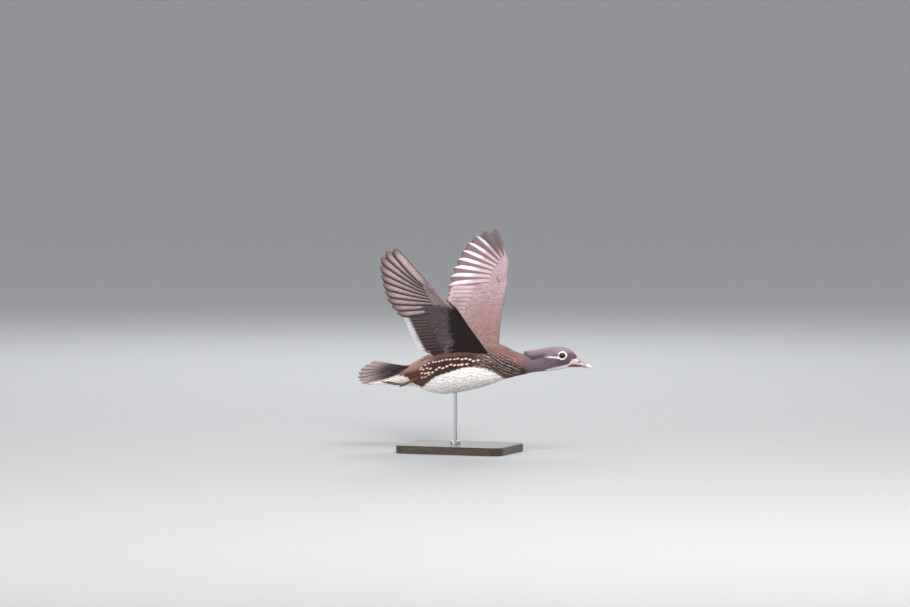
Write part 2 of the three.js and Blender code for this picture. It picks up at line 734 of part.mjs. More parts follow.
function meshOf(name, solid, material) {
  const made = solid.simplify(DETAIL).getMesh();
  const geometry = new THREE.BufferGeometry();
  geometry.setAttribute("position", new THREE.BufferAttribute(new Float32Array(made.vertProperties), 3));
  geometry.setIndex(new THREE.BufferAttribute(new Uint32Array(made.triVerts), 1));
  geometry.computeVertexNormals();
  const mesh = new THREE.Mesh(geometry, material);
  mesh.name = name;
  return mesh;
}

function build() {
  const bird = new THREE.Group();
  bird.position.z = BIRD_HEIGHT;
  const add = (name, solid, material) => bird.add(meshOf(name, solid, material));
  const bodyGrown = bodyLoft(-172, 150, 36, GAP);
  const whole = bodyLoft(-172, 140, 36).subtract(tailPad(GAP));
  const between = (from, to) => {
    const [a, b] = [neckPlane(from), neckPlane(to)];
    return largestPiece(trim(trim(whole, a.normal, a.distance, 1), b.normal, b.distance, -1));
  };
  const inner = { left: innerWing(LEFT, bodyGrown), right: innerWing(RIGHT, bodyGrown) };
  const tail = tailNode(bodyGrown);
  add("torso", between(NODE_X.rump, NODE_X.neck), MATERIALS.brown);
  add("rump", between(-180, NODE_X.rump), MATERIALS.white);
  add("neck", between(NODE_X.neck, NODE_X.head), MATERIALS.brown);
  add("head", headNode(), MATERIALS.grey);
  for (const [name, solid] of Object.entries(billNodes())) add(name, solid, MATERIALS.bill);
  add("eye_left", eyeball(1, EYE.radius), MATERIALS.eye);
  add("eye_right", eyeball(-1, EYE.radius), MATERIALS.eye);
  add("wing_left_inner", inner.left, MATERIALS.brown);
  add("wing_left_outer", outerWing(LEFT), MATERIALS.tail);
  add("wing_right_inner", inner.right, MATERIALS.dark);
  add("wing_right_outer", outerWing(RIGHT), MATERIALS.tail);
  add("tail", tail, MATERIALS.tail);
  for (const [name, side] of [["left", 1], ["right", -1]]) {
    add("leg_" + name, legNode(side, bodyGrown), MATERIALS.skin);
    add("foot_" + name, footNode(side, bodyGrown), MATERIALS.skin);
  }
  const floor = -BIRD_HEIGHT;
  const collar = { radius: 9, height: 5 };
  const baseTop = floor + STAND.thickness;
  const collarTop = baseTop + GAP + collar.height;
  add("stand_base", baseNode(), MATERIALS.wood);
  add("stand_collar", rod(collar.radius, baseTop + GAP, collarTop, 28), MATERIALS.steel);
  add("stand_rod", rod(STAND.rodRadius, collarTop + GAP, 0).subtract(bodyGrown), MATERIALS.steel);
  return bird;
}

export default build();
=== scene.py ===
import math
import bpy
import numpy as np
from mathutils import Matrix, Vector


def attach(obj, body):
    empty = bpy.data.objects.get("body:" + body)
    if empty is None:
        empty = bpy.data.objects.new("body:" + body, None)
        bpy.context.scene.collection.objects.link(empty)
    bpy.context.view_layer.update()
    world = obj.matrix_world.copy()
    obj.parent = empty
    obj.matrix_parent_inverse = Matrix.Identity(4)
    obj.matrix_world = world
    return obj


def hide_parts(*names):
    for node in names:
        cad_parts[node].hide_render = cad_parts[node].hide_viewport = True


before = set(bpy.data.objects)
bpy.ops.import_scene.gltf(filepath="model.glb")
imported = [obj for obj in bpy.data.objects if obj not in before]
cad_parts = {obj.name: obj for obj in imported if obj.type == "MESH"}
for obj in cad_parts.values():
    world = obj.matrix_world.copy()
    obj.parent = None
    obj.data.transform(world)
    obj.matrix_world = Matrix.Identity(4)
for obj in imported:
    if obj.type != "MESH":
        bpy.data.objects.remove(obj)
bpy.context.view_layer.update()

# A female mandarin duck in level flight on a plain display stand. Sizes are millimetres in
# the bird's own frame, whose origin is on the body's long axis above the middle of the stand.
BIRD_HEIGHT = 150
SIDES = ((1, "left"), (-1, "right"))
HEAD_TURN = math.radians(10)
NECK_BEND = (70, 130)
SEED = 7

# Body: x, top, bottom, half width and height of the widest point, from tail coverts to face
BODY = np.array([
    [-172, -31.5, -34, 2.5, -33],
    [-150, -27, -34.5, 8, -31],
    [-125, -19, -35, 14.5, -27],
    [-108, -10, -35, 19, -22],
    [-95, 0, -35, 23, -16],
    [-80, 10, -37, 28, -13],
    [-58, 20.5, -44.5, 36, -11],
    [-30, 31.5, -47.8, 43, -7],
    [0, 39, -44, 46, -1],
    [30, 43.5, -37.5, 44, 4],
    [55, 44, -30, 38, 8],
    [75, 42.3, -22.5, 30, 10.5],
    [90, 36.5, -17.5, 23.5, 11],
    [105, 29.8, -13.5, 18.5, 9.5],
    [120, 25.8, -10, 15.6, 9],
    [135, 28.5, -6.3, 15, 12],
    [150, 34, -4.4, 16, 16],
    [165, 38, -3.4, 17.5, 18.5],
    [180, 39.2, -1.5, 17.6, 20],
    [192, 38.2, 1.2, 15.8, 20],
    [202, 34.3, 3.6, 12.6, 18],
    [209, 28.1, 5, 9.8, 15.5],
    [216, 20.5, 6.4, 8, 13],
])
BODY_ENDS = (-172, 216)
BILL_ROOT = (213.6, 21.2)
BILL_LEAN = math.radians(38)
EYE = {"x": 190, "y": 11.8, "z": 25, "radius": 5.6}


def ease(low, high, value):
    """0 at low and 1 at high, with a smooth rise between. Low may be the larger."""
    t = np.clip((np.asarray(value, float) - low) / (high - low), 0, 1)
    return t * t * (3 - 2 * t)


def mix(a, b, share):
    """Colour a with a share of colour b."""
    share = np.asarray(share, float)[..., None]
    return np.asarray(a) * (1 - share) + np.asarray(b) * share


def blend(colour, *layers):
    """A colour with others laid over it in turn, each with the share that it takes."""
    for other, share in layers:
        colour = mix(colour, other, share)
    return colour


def tone(red, green, blue):
    """A colour named by its 0 to 255 screen values, as linear light."""
    value = np.array([red, green, blue]) / 255
    return np.where(value <= 0.04045, value / 12.92, ((value + 0.055) / 1.055) ** 2.4)


def between(pair, share):
    """A value that runs from the first of a pair to the second."""
    return pair[0] + (pair[1] - pair[0]) * share


def grid(first, second):
    """Every pair of values from two lines of them."""
    return np.meshgrid(first, second, indexing="ij")


def circle(sides):
    """Even angles round a full turn."""
    return np.linspace(0, 2 * np.pi, sides, endpoint=False)


def joined(*parts):
    """Arrays of coordinates as one array of points."""
    return np.stack(np.broadcast_arrays(*parts), -1)


# Shapes

def along(rows, x):
    """The values at x on a smooth curve through rows of x and values."""
    x = np.asarray(x, float)
    k = np.clip(np.searchsorted(rows[:, 0], x, side="right") - 1, 0, len(rows) - 2)
    before, start, end = rows[np.maximum(k - 1, 0)], rows[k], rows[k + 1]
    after = rows[np.minimum(k + 2, len(rows) - 1)]
    step = (end[..., 0] - start[..., 0])[..., None]
    t = np.clip((x - start[..., 0])[..., None] / step, 0, 1)
    slope_in = step * (end - before) / (end[..., 0] - before[..., 0])[..., None]
    slope_out = step * (after - start) / (after[..., 0] - start[..., 0])[..., None]
    t2, t3 = t * t, t * t * t
    value = start * (2 * t3 - 3 * t2 + 1) + slope_in * (t3 - 2 * t2 + t) + end * (3 * t2 - 2 * t3)
    return np.moveaxis((value + slope_out * (t3 - t2))[..., 1:], -1, 0)


def neck_course(steps=120):
    """Where the bent neck carries points of the axis, as a table along the bend."""
    start, end = NECK_BEND
    reach = np.linspace(0, end - start, steps + 1)
    angle = HEAD_TURN * ease(0, end - start, reach)
    step = reach[1] - reach[0]
    middle = (angle[1:] + angle[:-1]) / 2
    forward = np.concatenate([[0], np.cumsum(np.cos(middle)) * step])
    sideways = np.concatenate([[0], np.cumsum(np.sin(middle)) * step])
    return reach, angle, forward, sideways


NECK = neck_course()


def bend_neck(x, y, z):
    """Where a point of the straight bird lies when the neck is bent."""
    start, end = NECK_BEND
    reach = np.clip(x - start, 0, end - start)
    angle, forward, cy = [np.interp(reach, NECK[0], course) for course in NECK[1:]]
    cx = np.minimum(x, start) + forward
    beyond = np.maximum(x - end, 0)
    px = cx + beyond * np.cos(angle) - y * np.sin(angle)
    py = cy + beyond * np.sin(angle) + y * np.cos(angle)
    return joined(px, py, z)


def body_height(x, angle, grow=0.0):
    """Height of the body's surface, or of one that stands grow over it."""
    top, bottom, _, widest = along(BODY, x)
    rise = np.where(np.sin(angle) > 0, top + grow - widest, widest - bottom + grow)
    return widest + rise * np.sin(angle)


def body_point(x, angle, grow=0.0):
    """A point of the body's surface. Angle 0 is its left side and a quarter turn its top."""
    half = along(BODY, x)[2]
    z = body_height(x, angle, grow)
    y = (half + grow) * np.cos(angle)
    x = np.minimum(x, face_edge(z) - 0.3)
    return bend_neck(x, y, z)


def face_edge(z):
    """How far forward the feathered face reaches at a height, up to the bill's root."""
    return BILL_ROOT[0] + (z - BILL_ROOT[1]) * math.tan(BILL_LEAN)


def angle_at(x, z, side):
    """The body's angle at a height, on its left side (1) or its right (-1)."""
    top, bottom, _, widest = along(BODY, x)
    share = np.where(z > widest, (z - widest) / (top - widest), (z - widest) / (widest - bottom))
    angle = np.arcsin(np.clip(share, -1, 1))
    return angle if side > 0 else np.pi - angle


def coat_depth(x):
    """How deep the feathers lie over the skin, on the body, the neck and the face."""
    body, neck, face = 1.9, 0.8, 0.5
    return body - (body - neck) * ease(95, 145, x) - (neck - face) * ease(196, 212, x)


# Colours of the plumage, as they look in soft light
CROWN = tone(146, 128, 140)
LORE = tone(92, 74, 84)
CHEEK = tone(114, 95, 105)
NAPE = tone(128, 109, 121)
# Painted shadow under the crest's overhanging lower edge
CREST_SHADE = tone(58, 43, 52)
WHITE = tone(250, 246, 244)
MANTLE = tone(124, 86, 82)
MANTLE_TOP = tone(148, 112, 108)
FLANK = tone(64, 35, 32)
FLANK_REAR = tone(90, 51, 43)
# Breast: its own dark maroon, darkened further as painted shade
BREAST_WITH_SHADE = tone(54, 33, 35)
BAR = tone(206, 176, 170)
CREAM = tone(240, 216, 200)
RUMP = tone(170, 132, 122)
# Dark of the tail's shafts and edges, also painted shadow under the tail and its root
TAIL_DARK_AND_SHADOW = tone(52, 36, 38)
TAIL_GREY = tone(126, 104, 108)
# Pale tail tips, made paler still as painted light shining through the thin tips
TAIL_TIP_AND_LIGHT = tone(242, 218, 212)
WING_BROWN = tone(146, 111, 102)
WING_PINK = tone(158, 132, 138)
WEB_PALE = tone(188, 163, 170)
WEB_DARK = tone(120, 92, 100)
SILVER = tone(252, 247, 252)
PRIMARY_DARK = tone(70, 50, 54)
# Pink of the feathers' undersides, brightened as painted light shining through the vanes
UNDER_PINK_AND_GLOW = tone(222, 192, 192)
UNDER_LINE = tone(62, 40, 44)
UNDER_DARK = tone(44, 28, 30)
UNDER_GREY = tone(94, 80, 86)
LINING = tone(25, 14, 15)
LINING_EDGE = tone(54, 35, 33)
LINING_SPOT = tone(128, 114, 122)
SPECULUM = tone(62, 88, 84)
BILL_PINK = tone(196, 146, 138)
BILL_LILAC = tone(172, 152, 164)
BILL_TIP = tone(228, 216, 220)
BILL_DARK = tone(84, 56, 58)
FOOT = tone(124, 80, 58)
CLAW = tone(44, 34, 30)
LID = tone(30, 20, 24)

# Upper edges of the white belly, the white chin and the dark flank: places along the body, heights
BELLY_LINE = (
    [-172, -130, -100, -90, -76, -62, -54, -32, -4, 23, 43, 60, 76, 85, 92, 100, 216],
    [-24, -17, -16, -19, -31, -36, -31, -16, -6.5, 2, 4, 1, -7, -16, -26, -40, -60],
)
CHIN_LINE = ([140, 152, 162, 176, 190, 200, 208, 216], [-20, -6, 0, 3.4, 6.6, 9.2, 12, 13])
FLANK_LINE = ([-120, -100, -70, -40, 20, 60, 90, 112, 130], [-18, -13, -4, 13, 25, 30, 22, 8, -4])
# White stripe behind the eye with its half widths, white ring round the eye, bars on the breast
STRIPE = {"front": (184, 21.2), "back": (157, 23), "thick": (1.7, 0.6)}
RING = {"inner": 5.3, "outer": 7.9}
BAR_GAP = 5.4
BAR_LENGTH = 7.5


def head_tint(x, z):
    """Colour of the head, seen from either side."""
    # painted shadow on the side of the neck under the crest
    shade = np.exp(-(((x - 142) / 15) ** 2) - ((z - 25) / 2.6) ** 2)
    colour = blend(
        mix(CHEEK, CROWN, ease(14, 34, z)),
        (NAPE, ease(166, 142, x) * ease(38, 22, z)),
        (LORE, 0.85 * ease(170, 190, x) * ease(34, 26, z)),
        (NAPE, 0.6 * ease(178, 160, x) * ease(14, 2, z)),
        (CREST_SHADE, 0.85 * shade),
    )
    chin = np.interp(x, *CHIN_LINE)
    face = ease(4.4, 3.0, face_edge(z) - x) * ease(19.5, 17.5, z)
    from_eye = np.hypot(x - EYE["x"], (z - EYE["z"]) * 1.06)
    ring = ease(RING["outer"] + 0.4, RING["outer"] - 0.4, from_eye)
    (x1, z1), (x0, z0), (thick1, thick0) = STRIPE["front"], STRIPE["back"], STRIPE["thick"]
    t = np.clip((x - x0) / (x1 - x0), 0, 1)
    thick = thick0 + (thick1 - thick0) * t
    past_ends = np.maximum(x0 - x, 0) + np.maximum(x - x1 - 3, 0)
    stripe = ease(thick + 0.5, thick - 0.5, np.abs(z - (z0 + (z1 - z0) * t)) + 0.6 * past_ends)
    white = np.maximum.reduce([ease(chin + 1.6, chin - 1.2, z), face, ring, stripe])
    lid = ease(RING["inner"] + 0.3, RING["inner"] - 0.3, from_eye)
    return blend(colour, (WHITE, white), (LID, lid))


def body_tint(x, z):
    """Colour of the body and the neck behind the head."""
    bars = breast_bars(x, z) * ease(36, 52, x) * ease(122, 108, x)
    back = blend(
        mix(MANTLE, MANTLE_TOP, ease(34, 44, z)),
        (RUMP, ease(-20, -60, x)),
        (BAR, 0.35 * bars * ease(34, 20, z)),
    )
    low = blend(
        mix(FLANK, FLANK_REAR, ease(-20, -62, x)),
        # the breast's dark colour, with painted shade in it
        (BREAST_WITH_SHADE, ease(40, 62, x)),
        # painted shadow under the tail, on the body's rear below the flank line
        (TAIL_DARK_AND_SHADOW, ease(-92, -104, x)),
        (BAR, 0.7 * bars),
    )
    flank_top = np.interp(x, *FLANK_LINE)
    neck = mix(CHEEK, NAPE, ease(4, 20, z))
    belly = np.interp(x, *BELLY_LINE) + 0.7 * np.sin(x * 1.7) + 0.5 * np.sin(x * 0.63 + 1)
    return blend(
        back,
        (low, ease(flank_top + 4, flank_top - 4, z)),
        (neck, ease(114, 130, x + 0.25 * (z - 10))),
        (WHITE, ease(belly + 1.6, belly - 1.6, z)),
    )


def breast_bars(x, z):
    """Broken pale bars that run forward and down over the breast and shoulder."""
    across = z + 0.6 * x + 1.1 * np.sin(0.16 * x) + 0.6 * np.sin(0.4 * z + 0.2 * x)
    along_bar = x - 0.6 * z
    line = np.cos(2 * np.pi * across / BAR_GAP)
    breaks = np.cos(2 * np.pi * along_bar / BAR_LENGTH + 2.4 * np.floor(across / BAR_GAP))
    return ease(0.4, 0.85, line + 0.2 * breaks - 0.1)


def tint(x, z):
    """Colour of the feathers anywhere on the body and head."""
    return mix(body_tint(x, z), head_tint(x, z), ease(122, 136, x))


# Wings, laid flat: u runs out from the shoulder and v back from it
SHOULDER = (63.4, 28.3, 29.6)
ARM_LENGTH = 129
HAND_LENGTH = 60
WING_CAMBER = 0.0004
ROOT_U = -16
WINGS = {
    "left": {
        "side": 1, "lift": 59.5, "curl": 0.066, "flex": -0.00068,
        "arm": 4.7, "hand": 12.3, "fan": (88, 13.3),
    },
    "right": {
        "side": -1, "lift": 45.3, "curl": 0.069, "flex": 0.00143,
        "arm": 10.7, "hand": 27.2, "fan": (71, -6),
    },
}
PRIMARY_LENGTHS = (102, 103, 104, 104, 106, 109, 114, 118, 116, 108)
# From the leading edge to the feathers' tips, at the wrist and at the body
CHORD = (108, 122)


def wrist_of(wing):
    """Where the arm ends and the hand begins."""
    sweep = math.radians(wing["arm"])
    return ARM_LENGTH * math.cos(sweep), ARM_LENGTH * math.sin(sweep)


def leading_edge(wing, u):
    """How far back the wing begins."""
    wrist_u, wrist_v = wrist_of(wing)
    inner = wrist_v * u / wrist_u + 3 * np.sin(np.pi * np.clip(u, 0, wrist_u) / wrist_u)
    outer = wrist_v + math.tan(math.radians(wing["hand"])) * (u - wrist_u)
    return np.where(u < wrist_u, inner, outer)


def arm_root(wing, u, back):
    """A place back from the arm's leading edge."""
    return u, leading_edge(wing, u) + back


def hand_root(wing, reach, back):
    """A place out from the wrist along the hand and back from it."""
    wrist_u, wrist_v = wrist_of(wing)
    sweep = math.radians(wing["hand"])
    return wrist_u + math.cos(sweep) * reach, wrist_v + math.sin(sweep) * reach + back


def fan_angle(wing, place):
    """Direction of a hand feather, place being 0 at the wrist and 1 at the wing's tip."""
    first, last = wing["fan"]
    return wing["hand"] + first + (last - first) * place


def wing_point(wing, u, v, w):
    """A place on the flat wing, w over its mid-surface, carried onto the raised and curved one."""
    curl, lift = math.radians(wing["curl"]), math.radians(wing["lift"])
    angle = lift - curl * u
    behind = np.maximum(v - leading_edge(wing, u), 0)
    beyond = np.maximum(u - wrist_of(wing)[0], 0)
    height = w - WING_CAMBER * behind**2 + wing["flex"] * beyond**2
    lateral = (math.sin(lift) - np.sin(angle)) / curl - height * np.sin(angle)
    vertical = (np.cos(angle) - math.cos(lift)) / curl + height * np.cos(angle)
    x, y, z = SHOULDER
    return joined(x - v, wing["side"] * (y + lateral), z + vertical)


def limb_taper(wing, u, sizes):
    """A size of the fleshy arm and hand, from its values at the body, the wrist and the tip."""
    wrist_u = wrist_of(wing)[0]
    return np.interp(u, [ROOT_U, wrist_u, wrist_u + HAND_LENGTH + 3], sizes)


def limb_chord(wing, u):
    """How far back the fleshy arm and hand reach."""
    return limb_taper(wing, u, [82, 40, 8])


def limb_height(wing, u, v, face):
    """How far the fleshy arm or hand stands over (1) or under (-1) the wing's mid-surface."""
    back = (v - leading_edge(wing, u)) / limb_chord(wing, u)
    rise = [0, 0.42, 0.6, 0.5, 0.1, 0] if face > 0 else [0, 0.3, 0.4, 0.3, 0.1, 0]
    return limb_taper(wing, u, [14, 8.5, 2.6]) * np.interp(back, [0, 0.05, 0.2, 0.5, 1, 1.3], rise)


# Tail, laid flat: a runs to the right and b back from the root
TAIL_ROOT = (-88, 0, -4)
TAIL_DROP = math.radians(15.5)
TAIL_TWIST = math.radians(21)
TAIL_CUP = 0.0035


def tail_point(a, b, w):
    """A place on the flat tail, carried onto the dropped, twisted and cupped one."""
    height = w + TAIL_CUP * a * a
    y = -a * math.cos(TAIL_TWIST) + height * math.sin(TAIL_TWIST)
    raised = a * math.sin(TAIL_TWIST) + height * math.cos(TAIL_TWIST)
    x = TAIL_ROOT[0] - b * math.cos(TAIL_DROP) - raised * math.sin(TAIL_DROP)
    z = TAIL_ROOT[2] - b * math.sin(TAIL_DROP) + raised * math.cos(TAIL_DROP)
    return joined(x, y, z)


# Meshes

def build_mesh(name, points, quads, colours, maps, material, slot, replaced=()):
    """A piece from points, faces, a colour per point and UV maps per point or corner."""
    mesh = bpy.data.meshes.new(name)
    points = (np.reshape(points, (-1, 3)) + [0, 0, BIRD_HEIGHT]) / 1000
    quads = np.reshape(quads, (-1, 4))
    mesh.vertices.add(len(points))
    mesh.vertices.foreach_set("co", points.astype(np.float32).ravel())
    mesh.loops.add(quads.size)
    mesh.loops.foreach_set("vertex_index", quads.astype(np.int32).ravel())
    mesh.polygons.add(len(quads))
    mesh.polygons.foreach_set("loop_start", np.arange(0, quads.size, 4, dtype=np.int32))
    mesh.polygons.foreach_set("use_smooth", np.ones(len(quads), dtype=bool))
    for map_name, uv in maps.items():
        layer = mesh.uv_layers.new(name=map_name)
        corners = uv if np.shape(uv)[:-1] == quads.shape else np.reshape(uv, (-1, 2))[quads.ravel()]
        layer.data.foreach_set("uv", np.asarray(corners, np.float32).ravel())
    paint = mesh.color_attributes.new("Tint", "FLOAT_COLOR", "POINT")
    rgba = np.ones((len(points), 4))
    rgba[:, :3] = np.clip(np.reshape(colours, (-1, 3)), 0, 1)
    paint.data.foreach_set("color", rgba.astype(np.float32).ravel())
    mesh.update(calc_edges=True)
    mesh.validate()
    mesh.materials.append(material)
    piece = add_object(name, mesh)
    if replaced:
        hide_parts(*replaced)
    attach(piece, "root")


def add_object(name, data):
    """A new object in the scene."""
    added = bpy.data.objects.new(name, data)
    bpy.context.scene.collection.objects.link(added)
    return added


def wall_quads(rings, sides, around=True, closed=False):
    """Faces between rings of points, or open rows; closed also joins the last ring to the first."""
    i, j = grid(np.arange(rings if closed else rings - 1), np.arange(sides if around else sides - 1))
    near, far, k = i * sides, (i + 1) % rings * sides, (j + 1) % sides
    return np.stack([near + j, near + k, far + k, far + j], -1).reshape(-1, 4)


def turned(quads):
    """The same faces seen from their other side."""
    return quads[:, [0, 3, 2, 1]]


def cap_quads(first, count):
    """Faces that close an even ring of points."""
    k = np.arange(count // 2 - 1)
    return first + np.stack([k, k + 1, count - 2 - k, count - 1 - k], -1)


def tube_quads(rings, sides):
    """Faces of a closed tube made of rings of points."""
    last = (rings - 1) * sides
    front = cap_quads(0, sides)[:, ::-1]
    return np.concatenate([wall_quads(rings, sides), front, cap_quads(last, sides)])


def vane_template(stations, across):
    """One feather's points as place along it, place across it and face, with its faces."""
    s = np.linspace(-1, 1, across)
    ring, rings = 2 * across, len(stations)
    face = np.repeat([1.0, -1.0], across)
    wall, tip = turned(wall_quads(rings, ring)), cap_quads((rings - 1) * ring, ring)[:, ::-1]
    quads = np.concatenate([wall, cap_quads(0, ring), tip])
    t = np.repeat(np.asarray(stations, float), ring)
    return t, np.tile(np.concatenate([s, s[::-1]]), rings), np.tile(face, rings), quads


def spread_quads(quads, points_each, count):
    """The faces of count like feathers whose points follow each other."""
    return (quads[None] + (np.arange(count) * points_each)[:, None, None]).reshape(-1, 4)


# Outlines of feathers: places along the vane and how wide it is there
PRIMARY = ([0, 0.1, 0.3, 0.55, 0.75, 0.87, 0.93, 0.97, 1], [0.3, 0.6, 0.9, 1, 1, 0.95, 0.85, 0.67, 0.34])
SECONDARY = ([0, 0.1, 0.3, 0.6, 0.85, 0.94, 0.98, 1], [0.4, 0.7, 0.95, 1, 1, 0.93, 0.74, 0.38])
COVERT = ([0, 0.2, 0.5, 0.75, 0.9, 0.97, 1], [0.55, 0.85, 1, 0.98, 0.8, 0.55, 0.2])
FLUFF = ([0, 0.3, 0.6, 0.85, 1], [0.5, 0.95, 1, 0.72, 0.2])


def profile(shape, t):
    """How wide a feather is at a place along it."""
    return np.interp(t, *shape)


BAKE_PATCH = 0.0015


def bake_patch(root_uv, t, s):
    """Each tuft's patch of the bake map, at its root's place on the skin's unwrap."""
    return root_uv[:, None] + BAKE_PATCH * joined(s, 2 * t - 1)


def unwrap(x, angle):
    """Place on the skin's own unwrap, whose seam runs along the belly."""
    low, high = BODY_ENDS
    around = np.mod(angle + np.pi / 2, 2 * np.pi) / (2 * np.pi)
    return 0.01 + 0.98 * joined((x - low) / (high - low), around)


# Materials

class Look:
    """A material and ways to add the few kinds of nodes that it needs."""

    def __init__(self, name):
        self.material = bpy.data.materials.new(name)
        self.material.use_nodes = True
        self.nodes, self.links = self.material.node_tree.nodes, self.material.node_tree.links

    def fill(self, node, inputs):
        """Sets a node's inputs to plain values or links them to other nodes' outputs."""
        for key, value in inputs.items():
            if isinstance(value, bpy.types.NodeSocket):
                self.links.new(value, node.inputs[key])
            else:
                node.inputs[key].default_value = value

    def node(self, kind, inputs=None, operation=None):
        node = self.nodes.new(kind)
        if operation:
            node.operation = operation
        self.fill(node, inputs or {})
        return node

    def surface(self, inputs):
        self.fill(self.nodes["Principled BSDF"], inputs)
        return self.material

    def noise(self, inputs, stretch=(1, 1, 1)):
        place = self.node("ShaderNodeTexCoord").outputs["Object"]
        mapped = self.node("ShaderNodeMapping", {"Vector": place, "Scale": stretch})
        inputs = {"Vector": mapped.outputs["Vector"], **inputs}
        return self.node("ShaderNodeTexNoise", inputs).outputs["Fac"]

    def math(self, operation, *values):
        return self.node("ShaderNodeMath", dict(enumerate(values)), operation).outputs[0]

    def spread(self, value, low, high, start=0.0, end=1.0):
        """A value that runs from low to high while another one runs from start to end."""
        inputs = {"Value": value, "From Min": start, "From Max": end, "To Min": low, "To Max": high}
        return self.node("ShaderNodeMapRange", inputs).outputs["Result"]

    def scaled(self, colour, factor):
        return self.node("ShaderNodeVectorMath", {0: colour, "Scale": factor}, "SCALE").outputs["Vector"]

    def bump(self, height, strength, distance):
        inputs = {"Height": height, "Strength": strength, "Distance": distance}
        return self.node("ShaderNodeBump", inputs).outputs["Normal"]

    def ramp(self, value, *stops):
        ramp = self.node("ShaderNodeValToRGB", {"Fac": value})
        for element, (place, colour) in zip(ramp.color_ramp.elements, stops):
            element.position, element.color = place, colour
        return ramp.outputs["Color"]

    def mottled(self, scale, low, high, detail):
        """The piece's painted colour, a little lighter and darker from place to place."""
        tint_node = self.node("ShaderNodeVertexColor")
        tint_node.layer_name = "Tint"
        noise = self.noise({"Scale": scale, "Detail": detail})
        return self.scaled(tint_node.outputs["Color"], self.spread(noise, low, high, 0.3, 0.7)), noise


def feather_material(name, barb_gap, contrast, roughness, sheen):
    """Feather vanes: the painted colour, with barbs slanting back from the shaft."""
    look = Look(name)
    colour, noise = look.mottled(220, 0.86, 1.12, 3)
    vane = look.node("ShaderNodeUVMap")
    vane.uv_map = "Vane"
    split = look.node("ShaderNodeSeparateXYZ", {0: vane.outputs["UV"]})
    run = look.math("SUBTRACT", split.outputs["Y"], look.math("ABSOLUTE", split.outputs["X"]))
    barbs = look.math("SINE", look.math("MULTIPLY", run, 2 * math.pi / barb_gap))
    shade = look.math("ADD", look.math("MULTIPLY", barbs, contrast), 1.0)
    height = look.math("ADD", barbs, look.math("MULTIPLY", noise, 2.0))
    return look.surface({
        "Base Color": look.scaled(colour, shade),
        "Normal": look.bump(height, 0.22, 0.00025),
        "Roughness": look.spread(noise, roughness - 0.08, roughness + 0.1),
        "Specular IOR Level": 0.25,
        "Sheen Weight": sheen,
        "Sheen Roughness": 0.5,
    })


def skin_material(name, scale, low, high, roughness, bump_depth, gloss=0.0):
    """Painted colour with fine uneven grain, for bare skin, horn and the skin under the coat."""
    look = Look(name)
    colour, noise = look.mottled(scale, low, high, 5)
    return look.surface({
        "Base Color": colour,
        "Normal": look.bump(noise, 0.5, bump_depth),
        "Roughness": look.spread(noise, max(roughness - 0.1, 0.02), roughness + 0.1),
        "Coat Weight": gloss,
        "Specular IOR Level": 0.4,
    })


FLIGHT = feather_material("flight_vanes", 0.9, 0.035, 0.5, 0.05)
SMALL = feather_material("small_vanes", 0.55, 0.04, 0.65, 0.08)
SKIN = skin_material("plumage_skin", 300, 0.75, 1.1, 0.8, 0.0006)
HORN = skin_material("bill_horn", 260, 0.9, 1.06, 0.32, 0.00012, 0.25)
SCALES = skin_material("foot_skin", 700, 0.7, 1.15, 0.5, 0.0004)
EYE_GLOSS = skin_material("eye_gloss", 500, 0.9, 1.1, 0.12, 0.00001, 0.25)


# Body skin

def skin_mesh():
    """One skin for the body, neck and head, under the feathers."""
    tail_end, face_end = BODY_ENDS
    fine_from, sides = 120, 120
    xs = [np.arange(tail_end, fine_from, 2.5), np.arange(fine_from, face_end, 1.0), [face_end]]
    x, angle = grid(np.concatenate(xs), circle(sides) - np.pi / 2)
    depth = coat_depth(x)
    points = body_point(x, angle, -depth)
    colours = tint(x, body_height(x, angle, -depth)) * 0.8
    quads = tube_quads(len(x), sides)
    uv = unwrap(x, angle + 1e-6).reshape(-1, 2)[quads]
    seam = np.ptp(uv[..., 1], axis=1) > 0.5
    uv[seam, :, 1] = np.where(uv[seam, :, 1] < 0.5, 0.99, uv[seam, :, 1])
    replaced = ("torso", "rump", "neck", "head")
    build_mesh("body_skin", points, quads, colours, {"OFBake": uv}, SKIN, "plumage_body", replaced)


# Small feathers that lie on the body
BODY_STATIONS = (0, 0.35, 0.7, 0.9, 1)
HEAD_STATIONS = (0, 0.5, 0.85, 1)
SPOT_STATIONS = (0, 0.25, 0.5, 0.6, 0.68, 0.74, 0.8, 0.86, 0.92, 0.97, 1)
ROOT_DEPTH = 0.25


def rows_on_body(start, end, gap_x, gap_side, rng):
    """Roots in staggered rows round the body, from the front end to the rear one."""
    roots = []
    x, row = end, 0
    while x > start:
        top, bottom, half, _ = along(BODY, np.array(x))
        count = max(int(math.pi * (half + (top - bottom) / 2) / gap_side), 6)
        angle = (np.arange(count) + 0.5 * (row % 2)) / count * 2 * np.pi
        angle = angle + rng.normal(0, 0.12, count) * 2 * np.pi / count
        roots.append(np.stack([x + rng.normal(0, 0.14, count) * gap_x, angle], -1))
        x, row = x - gap_x, row + 1
    return np.concatenate(roots).T


